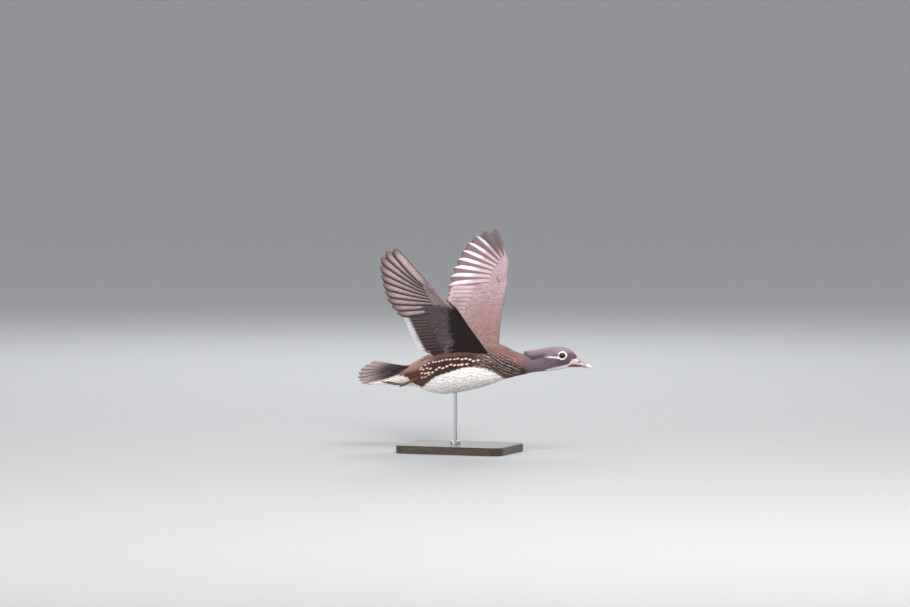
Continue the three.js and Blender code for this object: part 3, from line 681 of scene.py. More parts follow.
def body_feathers(name, x, angle, length, half_width, rng, stations=BODY_STATIONS, paint=None,
                  stand=0.0, across=3, slot="plumage_body"):
    """Feathers that follow the body's surface, roots in the skin and tips at the coat's surface."""
    t, s, face, quads = vane_template(stations, across)
    count = len(x)
    each = (count, 1)
    length = length * rng.uniform(0.88, 1.12, each)
    half_width = half_width * rng.uniform(0.9, 1.1, each)
    radius = np.maximum(along(BODY, x)[2], 4)[:, None]
    lean = rng.normal(0, 0.1, each)
    run = length * t
    out = half_width * profile(FLUFF, t) * s
    px = x[:, None] - run * np.cos(lean) + out * np.sin(lean) * 0.5
    pa = angle[:, None] + (out + run * np.sin(lean)) / radius
    px = np.clip(px, BODY_ENDS[0] + 0.5, BODY_ENDS[1] - 0.5)
    sunk = coat_depth(x)[:, None] + ROOT_DEPTH
    rise = (sunk + stand) * t**0.6 * rng.uniform(0.97, 1.02, each) - sunk
    arch = 0.048 * half_width * (1 - s * s) * np.sqrt(t + 0.05)
    thick = 0.06 + 0.05 * (1 - np.abs(s))
    points = body_point(px, pa, rise + arch + face * thick / 2)
    if paint is None:
        fleck = rng.uniform(0.88, 1.1, (count, 1, 1))
        colours = tint(px, body_height(px, pa)) * fleck * (0.9 + 0.12 * t)[None, :, None]
    else:
        colours = paint(x, angle, px, pa, t, s)
    maps = {"OFBake": bake_patch(unwrap(x, angle), t, s), "Vane": joined(out, run)}
    build_mesh(name, points, spread_quads(quads, len(t), count), colours, maps, SMALL, slot)


def clear_of_eye(x, angle, reach):
    """Which places of the surface lie farther than reach from the eye's middle."""
    z = body_height(x, angle)
    return np.hypot(x - EYE["x"], z - EYE["z"]) > reach


def body_paint(rng, count):
    """The body's markings with each feather a little lighter or darker than the next."""
    fleck = rng.uniform(0.88, 1.1, (count, 1, 1))

    def paint(x, angle, px, pa, t, s):
        whole = tint(px, body_height(px, pa))
        on_mantle = ease(22, 30, body_height(x, angle))[:, None]
        shade = mix(fleck * (0.9 + 0.12 * t)[None, :, None], 1.02, ease(0.3, 0.7, whole[..., 1]))
        return mix(whole, MANTLE_TOP, 0.25 * on_mantle * ease(0.7, 1, t)) * shade

    return paint


# Body feathers: rear and front end of each piece, gaps between roots, length and half width
BODY_COAT = (
    ("coat_undertail", -168, -88, 3.4, 2.8, 17, 2.4),
    ("coat_rear", -92, -30, 3.0, 2.1, 17, 1.7),
    ("coat_middle", -30, 26, 3.0, 2.1, 17, 1.7),
    ("coat_front", 26, 80, 3.0, 2.1, 17, 1.7),
    ("coat_neck", 78, 126, 2.2, 2.0, 9.5, 1.3),
)
# Head feathers: the same, then a place behind the root with how far it keeps from the eye, and
# a place near the tip
HEAD_COAT = (
    ("coat_nape", 124, 158, 1.2, 0.95, 5.6, 0.58, 1.5, 6.0, 4),
    ("coat_head", 158, 192, 1.2, 0.95, 5.6, 0.58, 1.5, 6.0, 4),
    ("coat_face", 190, 214, 1.1, 1.0, 3.2, 0.55, 1, 5.9, 2.6),
)
TIP_CLEAR = 5.9


def coat():
    """The small feathers of body, neck and head."""
    rng = np.random.default_rng(SEED)
    for name, start, end, gap_x, gap_side, length, half in BODY_COAT:
        x, angle = rows_on_body(start, end, gap_x, gap_side, rng)
        slot = "plumage_rump" if name == "coat_undertail" else "plumage_body"
        body_feathers(name, x, angle, length, half, rng, paint=body_paint(rng, len(x)), slot=slot)
    for name, start, end, gap_x, gap_side, length, half, near, clear, far in HEAD_COAT:
        x, angle = rows_on_body(start, end, gap_x, gap_side, rng)
        keep = clear_of_eye(x - near, angle, clear) & clear_of_eye(x - far, angle, TIP_CLEAR)
        keep &= face_edge(body_height(x, angle)) - x > 0.3
        body_feathers(name, x[keep], angle[keep], length, half, rng, HEAD_STATIONS, across=2,
                      slot="plumage_head")


# Flank rows: how strong each row of spots is, places along the body and their heights
FLANK_ROWS = (
    (1, [-58, -51, -38, -18, -8, 10, 26, 40, 56], [2, 6.6, 13, 15.5, 18.5, 19.3, 18.9, 16, 17.6]),
    (1, [-56, -51, -40, -31, -18, 0, 18, 34], [-9, -7.4, -6, -2.4, 3.7, 8.8, 9.5, 10.5]),
    (1, [-60, -48, -38], [-2, 0.5, 4]),
    (0.6, [-54, -44, -36], [-16, -13.5, -11]),
)
SPOT_GAP = 7.2
SPOT_FROM_ROOT = 9


def flank_feathers():
    """Rows of dark feathers, each with one round cream spot near its tip."""
    rng = np.random.default_rng(SEED + 1)
    for side, side_name in SIDES:
        xs, angles, weights = [], [], []
        for weight, places, heights in FLANK_ROWS:
            x = np.arange(places[0], places[-1], SPOT_GAP)
            x = x + rng.normal(0, 0.5, len(x))
            z = np.interp(x, places, heights) + rng.normal(0, 0.5, len(x))
            xs.append(x + SPOT_FROM_ROOT)
            angles.append(angle_at(x + SPOT_FROM_ROOT, z, side))
            weights.append(np.full(len(x), weight))
        x, angle, weight = np.concatenate(xs), np.concatenate(angles), np.concatenate(weights)
        strength = weight[:, None] * rng.uniform(0.8, 1, (len(x), 1))

        def paint(x, angle, px, pa, t, s, strength=strength):
            spot = ease(1.05, 0.75, np.hypot(s / 0.66, (t - 0.77) / 0.2))
            return mix(mix(FLANK, FLANK_REAR, ease(-20, -62, px)), CREAM, strength * spot)

        body_feathers("flank_spots_" + side_name, x, angle, 14, 3.7, rng, SPOT_STATIONS, paint,
                      stand=0.95, across=7)


def scapulars():
    """Long loose feathers from the mantle over each wing's root."""
    rng = np.random.default_rng(SEED + 2)
    rows, each = 6, 19
    row = np.arange(rows)[:, None]
    for side, side_name in SIDES:
        jitter = rng.normal(0, 1, (rows, 2, each))
        x = np.linspace(54, -40, each) + 1.2 * jitter[:, 0] - 3 * (row % 2)
        angle = np.radians(87 - 6.4 * row) + 0.03 * jitter[:, 1]
        angle = angle if side > 0 else np.pi - angle
        body_feathers("scapulars_" + side_name, x.ravel(), angle.ravel(), 25, 3.5, rng,
                      np.linspace(0, 1, 9), scapular_paint, stand=0.9, across=5)


def scapular_paint(x, angle, px, pa, t, s):
    """Brown with paler edges."""
    edge = ease(0.6, 1.0, np.maximum(np.abs(s), t))
    return mix(MANTLE * 0.85, MANTLE_TOP, 0.7 * np.broadcast_to(edge, px.shape))


CREST_LOCKS = 2200
CREST_RISE = ([112, 119, 130, 148, 165, 184], [5.2, 5.4, 5.6, 2.6, 1.1, 0.3])


def crest():
    """Fine locks from the crown and nape, layer on layer, that lie back over the neck."""
    rng = np.random.default_rng(SEED + 3)
    t, s, face, quads = vane_template(np.linspace(0, 1, 9), 2)
    count = CREST_LOCKS
    around = np.clip(rng.normal(0, 0.5, count), -1, 1)
    layer = rng.uniform(0, 1, count) ** 0.7
    start = rng.uniform(134, 184, count)
    end = 117 + 18 * np.abs(around) + rng.uniform(0, 13, count) * (1 - 0.4 * layer)
    end = np.maximum(end, start - rng.uniform(30, 46, count))
    keep = start - end > 8
    around, layer, start, end = around[keep, None], layer[keep, None], start[keep, None], end[keep, None]
    count = len(start)
    run = (start - end) * t
    spread = np.radians(90 - around * 72)
    half = rng.uniform(0.4, 0.85, (count, 1))
    x = start - run
    out = half * np.sin(np.pi * np.clip(t * 0.93 + 0.05, 0, 1)) ** 0.5 * s
    close = rng.normal(0, 0.6, (count, 1)) * t
    full = np.interp(x, *CREST_RISE) * (1 - 0.75 * np.abs(around) ** 2.2)
    rise = -0.8 + (full * layer + 0.8) * ease(0, 0.45, t)
    points = body_point(x, spread + (out + close) / 17, rise + face * 0.16 * (1 - 0.6 * t))
    shade = rng.uniform(0.84, 1.12, (count, 1, 1))
    # the crest's lower edge is painted dark as shadow where it overhangs the neck
    low_edge = ease(0.62, 0.85, np.abs(around)) * ease(162, 154, x)
    crown = ease(0.75, 0.1, np.abs(around) + 0.15 * t)
    colours = blend(NAPE, (CROWN, crown), (CREST_SHADE, 0.7 * low_edge)) * shade
    maps = {"OFBake": bake_patch(unwrap(start[:, 0], spread[:, 0]), t, s), "Vane": joined(out, run)}
    every = spread_quads(quads, len(t), count)
    build_mesh("crest_locks", points, every, colours, maps, SMALL, "plumage_head")


# Wing feathers

class Vanes:
    """Collects feather vanes that share a template, and makes one piece of them."""

    def __init__(self, stations, across):
        self.t, self.s, self.face, self.quads = vane_template(stations, across)
        self.points, self.colours, self.vane_map, self.quills = [], [], [], []

    def add(self, points, colours, out, run):
        self.points.append(points)
        self.colours.append(np.broadcast_to(colours, points.shape))
        self.vane_map.append(joined(out, run))

    def strips(self, count):
        """A bake map with a strip of its own for each vane and each of its faces."""
        columns = int(math.ceil(math.sqrt(count / 4)))
        lines = int(math.ceil(count / columns))
        k = np.arange(count)[:, None]
        u = (k % columns + 0.5 + 0.21 * self.s + 0.24 * self.face) / columns
        return joined(u, (k // columns + 0.04 + 0.92 * self.t) / lines)

    def piece(self, name, material, slot, replaced=()):
        points = np.stack(self.points)
        count = len(points)
        maps = {"OFBake": self.strips(count), "Vane": np.stack(self.vane_map)}
        every = spread_quads(self.quads, len(self.t), count)
        build_mesh(name, points, every, np.stack(self.colours), maps, material, slot, replaced)

    def quill(self, course, radius, colour, sides=6, stations=14):
        """Adds a tapering quill along a course that gives its centre at each place."""
        t = np.linspace(0.0, 0.97, stations)
        points = rings_along(course(t), radius * (1 - 0.85 * t), sides, [0.31, 0.2, 0.93])
        self.quills.append((points, tube_quads(stations, sides), np.broadcast_to(colour, points.shape)))

    def quill_piece(self, name, slot):
        build_mesh(name, *join_parts(self.quills), {}, HORN, slot)


def rings_along(centre, reach, sides, over):
    """Round rings of points along a course, with a side vector square to it and to over."""
    forward = np.gradient(centre, axis=0)
    forward /= np.linalg.norm(forward, axis=1, keepdims=True)
    side = np.cross(forward, over)
    side /= np.linalg.norm(side, axis=1, keepdims=True)
    up = np.cross(side, forward)
    angle = circle(sides)[:, None]
    ring = side[:, None] * np.cos(angle) + up[:, None] * np.sin(angle)
    return (centre[:, None] + reach[:, None, None] * ring).reshape(-1, 3)


def join_parts(parts):
    """One mesh from several, each with its points, faces and colours."""
    points = np.concatenate([p[0] for p in parts])
    starts = np.cumsum([0] + [len(p[0]) for p in parts[:-1]])
    quads = np.concatenate([p[1] + start for p, start in zip(parts, starts)])
    return points, quads, np.concatenate([p[2] for p in parts])


def two_faced(face, above, below):
    """One colour on the upper face and another on the lower."""
    return np.where((face > 0)[:, None], above, below)


def vane_height(s, face, thick):
    """A vane's height over its middle: arched across, and thinner toward its edges."""
    return 0.3 * (1 - s * s) + face * thick * (0.25 + 0.25 * (1 - np.abs(s)))


def tip_pull(s, t, pull):
    """Rounds a vane's tip by drawing its edges back."""
    return 1 - pull * s * s * ease(0.75, 1, t)


def laid(base, angle, run, out):
    """The flat wing place that lies run along a feather and out from its shaft."""
    turn = math.radians(angle)
    u = base[0] + math.cos(turn) * run - math.sin(turn) * out
    return u, base[1] + math.sin(turn) * run + math.cos(turn) * out


def wing_vane(vanes, wing, base, angle, length, width, shape, lead, bow, level, paint, rng, thick=0.35):
    """One vane on the wing. lead is the outer web's share of the width, bow how far the vane bends
    sideways, and level gives its height from u, v, t and s."""
    t, s, face = vanes.t, vanes.s, vanes.face
    ragged = 1 + 0.02 * np.sin(t * 37 + rng.uniform(0, 6)) + 0.015 * np.sin(t * 83 + rng.uniform(0, 6))
    out = -width * profile(shape, t) * ragged * np.where(s > 0, lead, 1 - lead) * s
    run = length * t * tip_pull(s, t, 0.035)
    u, v = laid(base, angle, run, bow * length * t * t + out)
    points = wing_point(wing, u, v, level(u, v, t, s) + vane_height(s, face, thick))
    vanes.add(points, paint(t, s, face) * rng.uniform(0.93, 1.06), out, run)


def web_tint(s):
    """A pale outer web and a dark inner one."""
    return mix(WEB_DARK, WEB_PALE, ease(-0.15, 0.2, s) * ease(1.02, 0.75, s))


def primary_paint(outer):
    """Pale silvery webs above, pink ones with dark edges below, the pink partly painted light shining
    through the vanes. outer is 1 at the wing's tip.
    """
    def paint(t, s, face):
        strength = ease(-0.1, 0.35, outer) * ease(0.95, 0.7, outer)
        silver = ease(0.1, 0.35, s) * ease(0.5, 0.72, t) * ease(1.02, 0.96, t)
        above = blend(
            web_tint(s),
            (SILVER, silver * strength),
            (PRIMARY_DARK, ease(0.88, 0.96, t) * (0.1 + 0.6 * outer) * ease(0.3, 0, s)),
            (PRIMARY_DARK, 0.9 * ease(0.7, 0.9, outer) * ease(0.1, 0.5, t)),
            (PRIMARY_DARK, 0.5 * ease(0.1, 0.03, np.abs(s))),
        )
        below = blend(
            # the pink is the underside's pale colour brightened as painted light through the vanes
            UNDER_PINK_AND_GLOW,
            (UNDER_LINE, ease(0.35, 0.85, np.abs(s))),
            (UNDER_LINE, 0.7 * ease(0.78, 0.98, t) + 0.3 * ease(0.35, 0.1, t)),
        )
        return two_faced(face, above, below)

    return paint


def secondary_paint(place):
    """White tips on both sides, a dull green panel above. place is 0 at the wrist."""
    def paint(t, s, face):
        panel = ease(0.5, 0.6, t) * ease(0.88, 0.84, t) * ease(-0.3, 0.1, s)
        above = blend(
            WEB_DARK,
            (mix(WEB_PALE, WING_BROWN, 0.8 * place), ease(-0.2, 0.3, s)),
            (SPECULUM, 0.35 * panel * ease(0.1, 0.25, place) * ease(0.8, 0.6, place)),
            (WEB_PALE, 0.8 * ease(0.88, 0.93, t)),
        )
        streak = 0.3 * ease(-0.75, -0.95, s) + 0.3 * ease(0.3, 0.1, np.abs(s + 0.3))
        below = blend(
            UNDER_DARK,
            # pale streaks in the underside pink, which holds painted light through the vanes
            (UNDER_PINK_AND_GLOW, streak * (1 - 0.6 * place) + 0.04 * (1 - place)),
            (SILVER, ease(0.87, 0.9, t) * ease(0.97, 0.85, place)),
        )
        return two_faced(face, above, below)

    return paint


def tertial_paint(t, s, face):
    """Plain brown, darker on the outer web."""
    return two_faced(face, mix(WING_BROWN, WEB_DARK, ease(0.3, 0.9, s)), UNDER_DARK)


LINING_REACH = ([-0.6, 0, 0.35, 0.7, 1], [0.0, 0.17, 0.34, 0.5, 0.74])


def upper_covert_paint(place):
    """Coverts above: place is 0 at the wrist, 1 at the body and below 0 on the hand."""
    def paint(t, s, face):
        edge = ease(0.5, 1.0, np.maximum(np.abs(s), t))
        plain = mix(WING_PINK, WING_BROWN, ease(-0.1, 0.7, place)) * 0.84
        return blend(web_tint(s), (plain, 0.35 + 0.65 * ease(0, 0.4, place)), (WEB_PALE, 0.25 * edge))

    return paint


def under_covert_paint(place, tip):
    """Coverts below: place as above, tip the share of the chord that the feather reaches."""
    def paint(t, s, face):
        edge = ease(0.5, 1.0, np.maximum(np.abs(s), t))
        reach = np.interp(place, *LINING_REACH)
        dark = ease(reach + 0.03, reach - 0.03, tip)
        near_edge = ease(0.08, 0.04, abs(tip - reach)) * ease(0.55, 0.75, place)
        spot = ease(0.66, 0.8, t) * ease(0.85, 0.5, np.abs(s)) * near_edge
        return blend(
            # toward the hand, the underside pink that holds painted light through the hand's feathers
            mix(UNDER_GREY, UNDER_PINK_AND_GLOW * 0.8, ease(-0.05, -0.3, place)),
            (LINING, dark),
            (LINING_EDGE if dark > 0.5 else UNDER_GREY * 1.35, 0.5 * edge),
            (LINING_SPOT, 0.85 * spot),
        )

    return paint


# Flight feathers: stations along a vane, counts, widths, roots and shafts
FLIGHT_STATIONS = np.concatenate([np.linspace(0, 0.84, 13), [0.89, 0.93, 0.96, 0.98, 1]])
SECONDARIES = 15
TERTIALS = 4
HAND_START = 7
PRIMARY_WIDTHS = (27, 19)
SECONDARY_WIDTH = 18
SECONDARY_ROOT = 34
TERTIAL_WIDTH = 19
QUILL = tone(120, 96, 92)
QUILL_RADIUS = 0.85


def flight_feathers(side_name, wing, rng):
    """Primaries on the hand, secondaries and tertials on the arm, each with its shaft."""
    wrist_u = wrist_of(wing)[0]
    vanes = Vanes(FLIGHT_STATIONS, 9)

    def add(base, angle, length, width, shape, lead, bow, paint, drop=0.0):
        def tilted(u, v, t, s):
            return s * np.minimum(1, t * 3 + 0.3) - drop * ease(0.3, 0.65, t)

        def course(t):
            u, v = laid(base, angle, length * t, bow * length * t * t)
            return wing_point(wing, u, v, 0.3 - drop * ease(0.3, 0.65, t))

        wing_vane(vanes, wing, base, angle, length, width, shape, lead, bow, tilted, paint, rng)
        vanes.quill(course, QUILL_RADIUS, QUILL)

    for k, length in enumerate(PRIMARY_LENGTHS):
        place = k / (len(PRIMARY_LENGTHS) - 1)
        base = hand_root(wing, HAND_START + (HAND_LENGTH - HAND_START) * place, 9 - 6 * place)
        width = between(PRIMARY_WIDTHS, place)
        add(base, fan_angle(wing, place), length, width, PRIMARY, 0.4 - 0.16 * place, 0.03,
            primary_paint(place), 1.8 * (1 - place) ** 2)
    for k in range(SECONDARIES):
        t = k / (SECONDARIES - 1)
        base = arm_root(wing, (wrist_u - 3) * (1 - t) + 6 * t, SECONDARY_ROOT)
        length = between(CHORD, ease(0, 1, t)) - SECONDARY_ROOT - 16 * ease(0.86, 1, t)
        add(base, 91 + 5 * t, length, SECONDARY_WIDTH, SECONDARY, 0.42, -0.03, secondary_paint(t))
    for k in range(TERTIALS):
        base = arm_root(wing, 3 - 5 * k, 32 - 3 * k)
        length = CHORD[1] - 62 - 8 * k
        add(base, 97 + 3 * k, length, TERTIAL_WIDTH, SECONDARY, 0.42, -0.03, tertial_paint)
    vanes.piece("flight_feathers_" + side_name, FLIGHT, "plumage_wing")
    vanes.quill_piece("quills_" + side_name, "plumage_wing")


ALULA_FEATHERS = 4
COVERT_STATIONS = (0, 0.2, 0.4, 0.6, 0.75, 0.87, 0.95, 1)
COVERT_ROWS = 10
COVERT_SINK = 1.1
COVERT_GAP = 0.6


def covert_rows(side_name, wing, face_side, rng):
    """Tiers of coverts from the flight feathers' roots forward to the leading edge."""
    wrist_u = wrist_of(wing)[0]
    vanes = Vanes(COVERT_STATIONS, 5)

    def level(u, v, t, s):
        vanes_top = COVERT_SINK * ease(1, 8, v - leading_edge(wing, u))
        ground = np.maximum(limb_height(wing, u, v, face_side), vanes_top)
        return face_side * (ground - COVERT_SINK + 1.8 * t**0.6 + 0.35 * s)

    def paint(place, tip):
        return upper_covert_paint(place) if face_side > 0 else under_covert_paint(place, tip)

    for row in range(COVERT_ROWS):
        rear = 1 - row / (COVERT_ROWS - 1)
        back = 32 * rear**1.1 + 1.5
        length = 10 + 25 * rear**1.2
        width = 8 + 8 * rear**1.2
        gap = width * COVERT_GAP
        arm_count = int((wrist_u - 2) / gap)
        for k in range(arm_count + 1):
            t = (k + 0.5 * (row % 2)) / arm_count
            u = -6 + (wrist_u + 6) * (1 - t) + gap * rng.normal(0, 0.16)
            root = back * (0.95 + 0.3 * t) + gap * rng.normal(0, 0.09)
            size = length * (0.95 + 0.25 * t) * rng.uniform(0.92, 1.06)
            wing_vane(vanes, wing, arm_root(wing, u, root), 90 + 7 * t + rng.normal(0, 3), size, width,
                      COVERT, 0.5, 0.02, level, paint(t, (root + size) / between(CHORD, t)), rng, 0.3)
        hand_count = int(HAND_LENGTH / (gap * 0.62))
        for k in range(hand_count + 1):
            t = min((k + 0.5 * (row % 2)) / hand_count, 1)
            base = hand_root(wing, HAND_LENGTH * t, 0.38 * back * (1 - 0.55 * t) + 1)
            size = (length * (1 - 0.3 * t) - 4 * rear) * (0.84 - 0.12 * t) * rng.uniform(0.92, 1.06)
            wing_vane(vanes, wing, base, fan_angle(wing, t**1.2) + rng.normal(0, 1.5), size, width * 0.9,
                      COVERT, 0.5, 0.04, level, paint(-0.02 - t, 0.3 + 0.3 * rear), rng, 0.3)
    over = "over" if face_side > 0 else "under"
    vanes.piece(f"coverts_{over}_{side_name}", SMALL, "plumage_wing")


def alula(side_name, wing, rng):
    """The small stiff feathers at the wrist's leading edge."""
    vanes = Vanes(np.linspace(0, 1, 10), 5)
    wrist_u, wrist_v = wrist_of(wing)
    for k in range(ALULA_FEATHERS):
        def level(u, v, t, s, k=k):
            return limb_height(wing, u, v, 1) - 0.8 + (1.2 + 0.35 * k) * ease(0, 0.35, t) + 0.3 * s

        base = (wrist_u + 4, wrist_v + 3 + 2.4 * k)
        wing_vane(vanes, wing, base, wing["hand"] + 2 + 4 * k, 42 - 6 * k, 8.5, COVERT, 0.4, 0.08, level,
                  upper_covert_paint(0.1), rng)
    vanes.piece("alula_" + side_name, FLIGHT, "plumage_wing")


def wing_skin(side_name, wing):
    """The fleshy arm and hand under the coverts."""
    wrist_u = wrist_of(wing)[0]
    half = np.linspace(0, 1, 15) ** 1.6
    section = np.concatenate([half[::-1], half[1:-1]])
    ring = len(section)
    face = np.where(np.arange(ring) < len(half), 1, -1)
    u, back = grid(np.linspace(ROOT_U, wrist_u + HAND_LENGTH + 2, 60), section)
    v = leading_edge(wing, u) + back * limb_chord(wing, u)
    high, low = limb_height(wing, u, v, 1), limb_height(wing, u, v, -1)
    points = wing_point(wing, u, v, np.where(face > 0, high - 0.5, -low + 0.5))
    upper = mix(WING_PINK, WING_BROWN, ease(wrist_u, 20, u))
    colours = two_faced(face, upper, LINING) * 0.9
    along_wing = 0.02 + 0.96 * (u - ROOT_U) / np.ptp(u)
    uv = joined(along_wing, np.linspace(0.02, 0.98, ring))
    nodes = (f"wing_{side_name}_inner", f"wing_{side_name}_outer")
    build_mesh("wing_skin_" + side_name, points, tube_quads(len(u), ring), colours, {"OFBake": uv}, SKIN,
               "plumage_wing", nodes)


# Tail
TAIL_PAIRS = 6
TAIL_SPREAD = 42
TAIL_LENGTHS = (103, 77)
TAIL_WIDTH = 23
TAIL_QUILL = tone(104, 84, 84)
TAIL_STATIONS = np.concatenate([np.linspace(0, 0.86, 12), [0.91, 0.95, 0.98, 1]])
TAIL_PAD = {"long": 27, "wide": 18, "thick": 5, "middle": 14}
# Tail coverts: above or below, tiers, where the first tier starts and its feathers' length
TAIL_TIERS = ((1, 7, 20, 36), (-1, 5, 10, 30))


def on_tail(turn, run, out):
    """The flat tail place that lies run along a feather and out from its shaft."""
    a = math.sin(turn) * run + math.cos(turn) * out
    return a, math.cos(turn) * run - math.sin(turn) * out


def tail_paint(t, s, face):
    """Grey with pale tips, brown at the root above and, as painted shadow under the tail, dark below;
    the tips are paler below as painted light through the thin tips.
    """
    root_tint_and_shade = ease(0.7, 0.3, t)
    # below, the root is darkened as painted shadow under the tail
    webs = two_faced(face, mix(TAIL_GREY, RUMP, 0.7 * root_tint_and_shade), mix(TAIL_GREY, TAIL_DARK_AND_SHADOW, 0.6 * root_tint_and_shade))
    pale = ease(0.5, 0.88, t) * (0.7 + 0.3 * ease(0.1, 0.4, np.abs(s)))
    return blend(
        webs,
        # the lower face's stronger pale tips are painted light shining through the thin tips
        (TAIL_TIP_AND_LIGHT, np.where(face > 0, 0.4, 0.95) * pale),
        (TAIL_DARK_AND_SHADOW, 0.4 * ease(0.82, 1.0, np.abs(s)) * ease(0.97, 0.9, t)),
        (TAIL_DARK_AND_SHADOW, 0.4 * ease(0.1, 0.02, np.abs(s))),
    )


def tail_feathers(rng):
    """Pairs of tail feathers, from the middle one outward, each with its shaft."""
    vanes = Vanes(TAIL_STATIONS, 9)
    t, s, face = vanes.t, vanes.s, vanes.face
    for k in range(TAIL_PAIRS):
        share = (k + 0.5) / (TAIL_PAIRS - 0.5)
        length = between(TAIL_LENGTHS, share**2)
        for side in (-1, 1):
            turn = math.radians(side * TAIL_SPREAD * share)
            out = 0.5 * TAIL_WIDTH * profile(SECONDARY, t) * s * (1 + 0.02 * np.sin(t * 41 + k))
            run = length * t * tip_pull(s, t, 0.03)
            points = tail_point(*on_tail(turn, run, out), vane_height(s, face, 0.35) - s * side)
            vanes.add(points, tail_paint(t, s, face) * rng.uniform(0.93, 1.06), out, run)

            def course(place, turn=turn, length=length):
                return tail_point(*on_tail(turn, length * place, 0), 0.3)

            vanes.quill(course, 0.8, TAIL_QUILL)
    vanes.piece("tail_feathers", FLIGHT, "plumage_tail", ("tail",))
    vanes.quill_piece("tail_quills", "plumage_tail")


def tail_pad():
    """The fleshy root that carries the tail feathers."""
    rings, sides = 20, 32
    polar, turn = grid(np.linspace(0.06, np.pi - 0.06, rings), circle(sides))
    b = TAIL_PAD["middle"] + TAIL_PAD["long"] * np.cos(polar)
    a = TAIL_PAD["wide"] * np.sin(polar) * np.cos(turn)
    w = (TAIL_PAD["thick"] - 0.6) * np.sin(polar) * np.sin(turn)
    # its lower side is painted dark as shadow under the tail
    colours = mix(TAIL_DARK_AND_SHADOW, RUMP, ease(-1, 0.5, w))
    maps = {"OFBake": joined(0.05 + 0.9 * turn / (2 * np.pi), 0.05 + 0.9 * polar / np.pi)}
    build_mesh("tail_root", tail_point(a, b, w), tube_quads(rings, sides), colours, maps, SKIN,
               "plumage_tail")


def pad_height(a, b):
    """How far the fleshy root stands over or under the tail's mid-surface."""
    off = (a / TAIL_PAD["wide"]) ** 2 + ((b - TAIL_PAD["middle"]) / TAIL_PAD["long"]) ** 2
    return TAIL_PAD["thick"] * np.sqrt(np.clip(1 - off, 0, 1))


def tail_coverts(rng):
    """Tiers of coverts over and under the roots of the tail feathers."""
    vanes = Vanes(COVERT_STATIONS, 5)
    t, s, face = vanes.t, vanes.s, vanes.face
    edge = ease(0.6, 1, np.maximum(np.abs(s), t))
    for above, rows, first, longest in TAIL_TIERS:
        # the lower coverts are dark toward their roots as painted shadow under the tail
        fill = mix(RUMP, TAIL_GREY, 0.9 * t) if above > 0 else mix(TAIL_DARK_AND_SHADOW, UNDER_GREY, 0.6 * t)
        colour = mix(fill, fill * 1.15, edge)
        for row in range(rows):
            count = 15 - row
            for k in range(count):
                across = 2 * (k + 0.25 * (row % 2)) / (count - 1) - 1
                turn = math.radians(across * 36 + rng.normal(0, 2))
                length = (longest - 2 * row) * (1 - 0.45 * abs(across)) * rng.uniform(0.88, 1.1)
                out = 4.8 * profile(COVERT, t) * s
                run = (first - 8 * row) * (1 - 0.3 * abs(across)) + length * t
                a, b = on_tail(turn, run, out)
                lift = above * (np.maximum(pad_height(a, b), 1.1) + 0.4 * t**0.7)
                points = tail_point(a, b, lift + 0.2 * (1 - s * s) + face * 0.12)
                vanes.add(points, colour * rng.uniform(0.85, 1.1), out, length * t)
    vanes.piece("tail_coverts", SMALL, "plumage_tail")


def tail():
    rng = np.random.default_rng(SEED + 5)
    tail_feathers(rng)
    tail_pad()
    tail_coverts(rng)


# Bill: x, culmen, line of the mouth, underside and half width
BILL = np.array([
    [194, 25.5, 8.6, 3.5, 9],
    [206, 23.6, 8.2, 3.6, 8.8],
    [213.6, 21.2, 7.8, 3.8, 8],
    [221, 15.4, 7.1, 3.9, 7.2],
    [228, 10.8, 6, 2.9, 7],
    [233, 9, 4.9, 1.9, 7.1],
    [236.6, 7.9, 3.8, 1.3, 6],
    [238.6, 6.3, 2.4, 0.9, 3.9],
    [239.6, 4, 0.6, 0.4, 1.4],
])
NOSTRIL = {"x": 218.5, "z": 13.2, "long": 2.8, "high": 1.25}
MOUTH_GAP = 0.3


def off_nostril(x, z):
    """Distance from the nostril's middle, 1 at its rim."""
    return np.hypot((x - NOSTRIL["x"]) / NOSTRIL["long"], (z - NOSTRIL["z"]) / NOSTRIL["high"])


def bill_tint(x, z, upper):
    """Pink at the root, lilac and then pale toward the nail, dark in the nostril."""
    colour = blend(BILL_PINK, (BILL_LILAC, ease(209, 221, x)), (BILL_TIP, ease(229, 235, x)))
    if not upper:
        return mix(colour, BILL_DARK, 0.85 * ease(230, 214, x))
    culmen, mouth, _, _ = along(BILL, x)
    ridge = ease(-3, -1, z - culmen) * ease(214, 220, x) * ease(232, 226, x)
    edge = ease(1.4, 0.5, z - mouth) * ease(205, 212, x) * (0.5 + 0.5 * np.sin(x * 9))
    return blend(
        colour,
        (BILL_DARK, 0.3 * ridge),
        # the nostril opening is painted dark as shade inside it
        (tone(40, 24, 26), ease(1.15, 0.75, off_nostril(x, z))),
        (tone(120, 88, 88), 0.35 * edge),
    )


def bill(upper):
    """The horn of one half of the bill."""
    sides, count = 64, 90
    x_line = BILL[0, 0] + (BILL[-1, 0] - BILL[0, 0]) * (np.linspace(0, 1, count) ** 0.75)
    x, angle = grid(x_line, circle(sides))
    culmen, mouth, underside, half = along(BILL, x)
    top = culmen if upper else mouth - MOUTH_GAP
    bottom = mouth if upper else np.minimum(underside, mouth - MOUTH_GAP - 0.7)
    width = np.maximum(half if upper else half - 1, 0.6)
    cos, sin = np.cos(angle), np.sin(angle)
    middle = bottom + (top - bottom) * (0.12 if upper else 0.75)
    z = middle + np.where(sin > 0, top - middle, middle - bottom) * sin
    y = width * np.sign(cos) * np.abs(cos) ** 0.8
    if upper:
        y = y * (1 - 0.16 * ease(1.1, 0.4, off_nostril(x, z)))
        z = z + 0.45 * ease(232.5, 234, x) * ease(4.2, 3.4, np.abs(y)) * (sin > 0)
    name = "bill_upper" if upper else "bill_lower"
    build_mesh(name + "_horn", bend_neck(x, y, z), tube_quads(count, sides), bill_tint(x, z, upper), {},
               HORN, "bill", (name,))


# Eyes

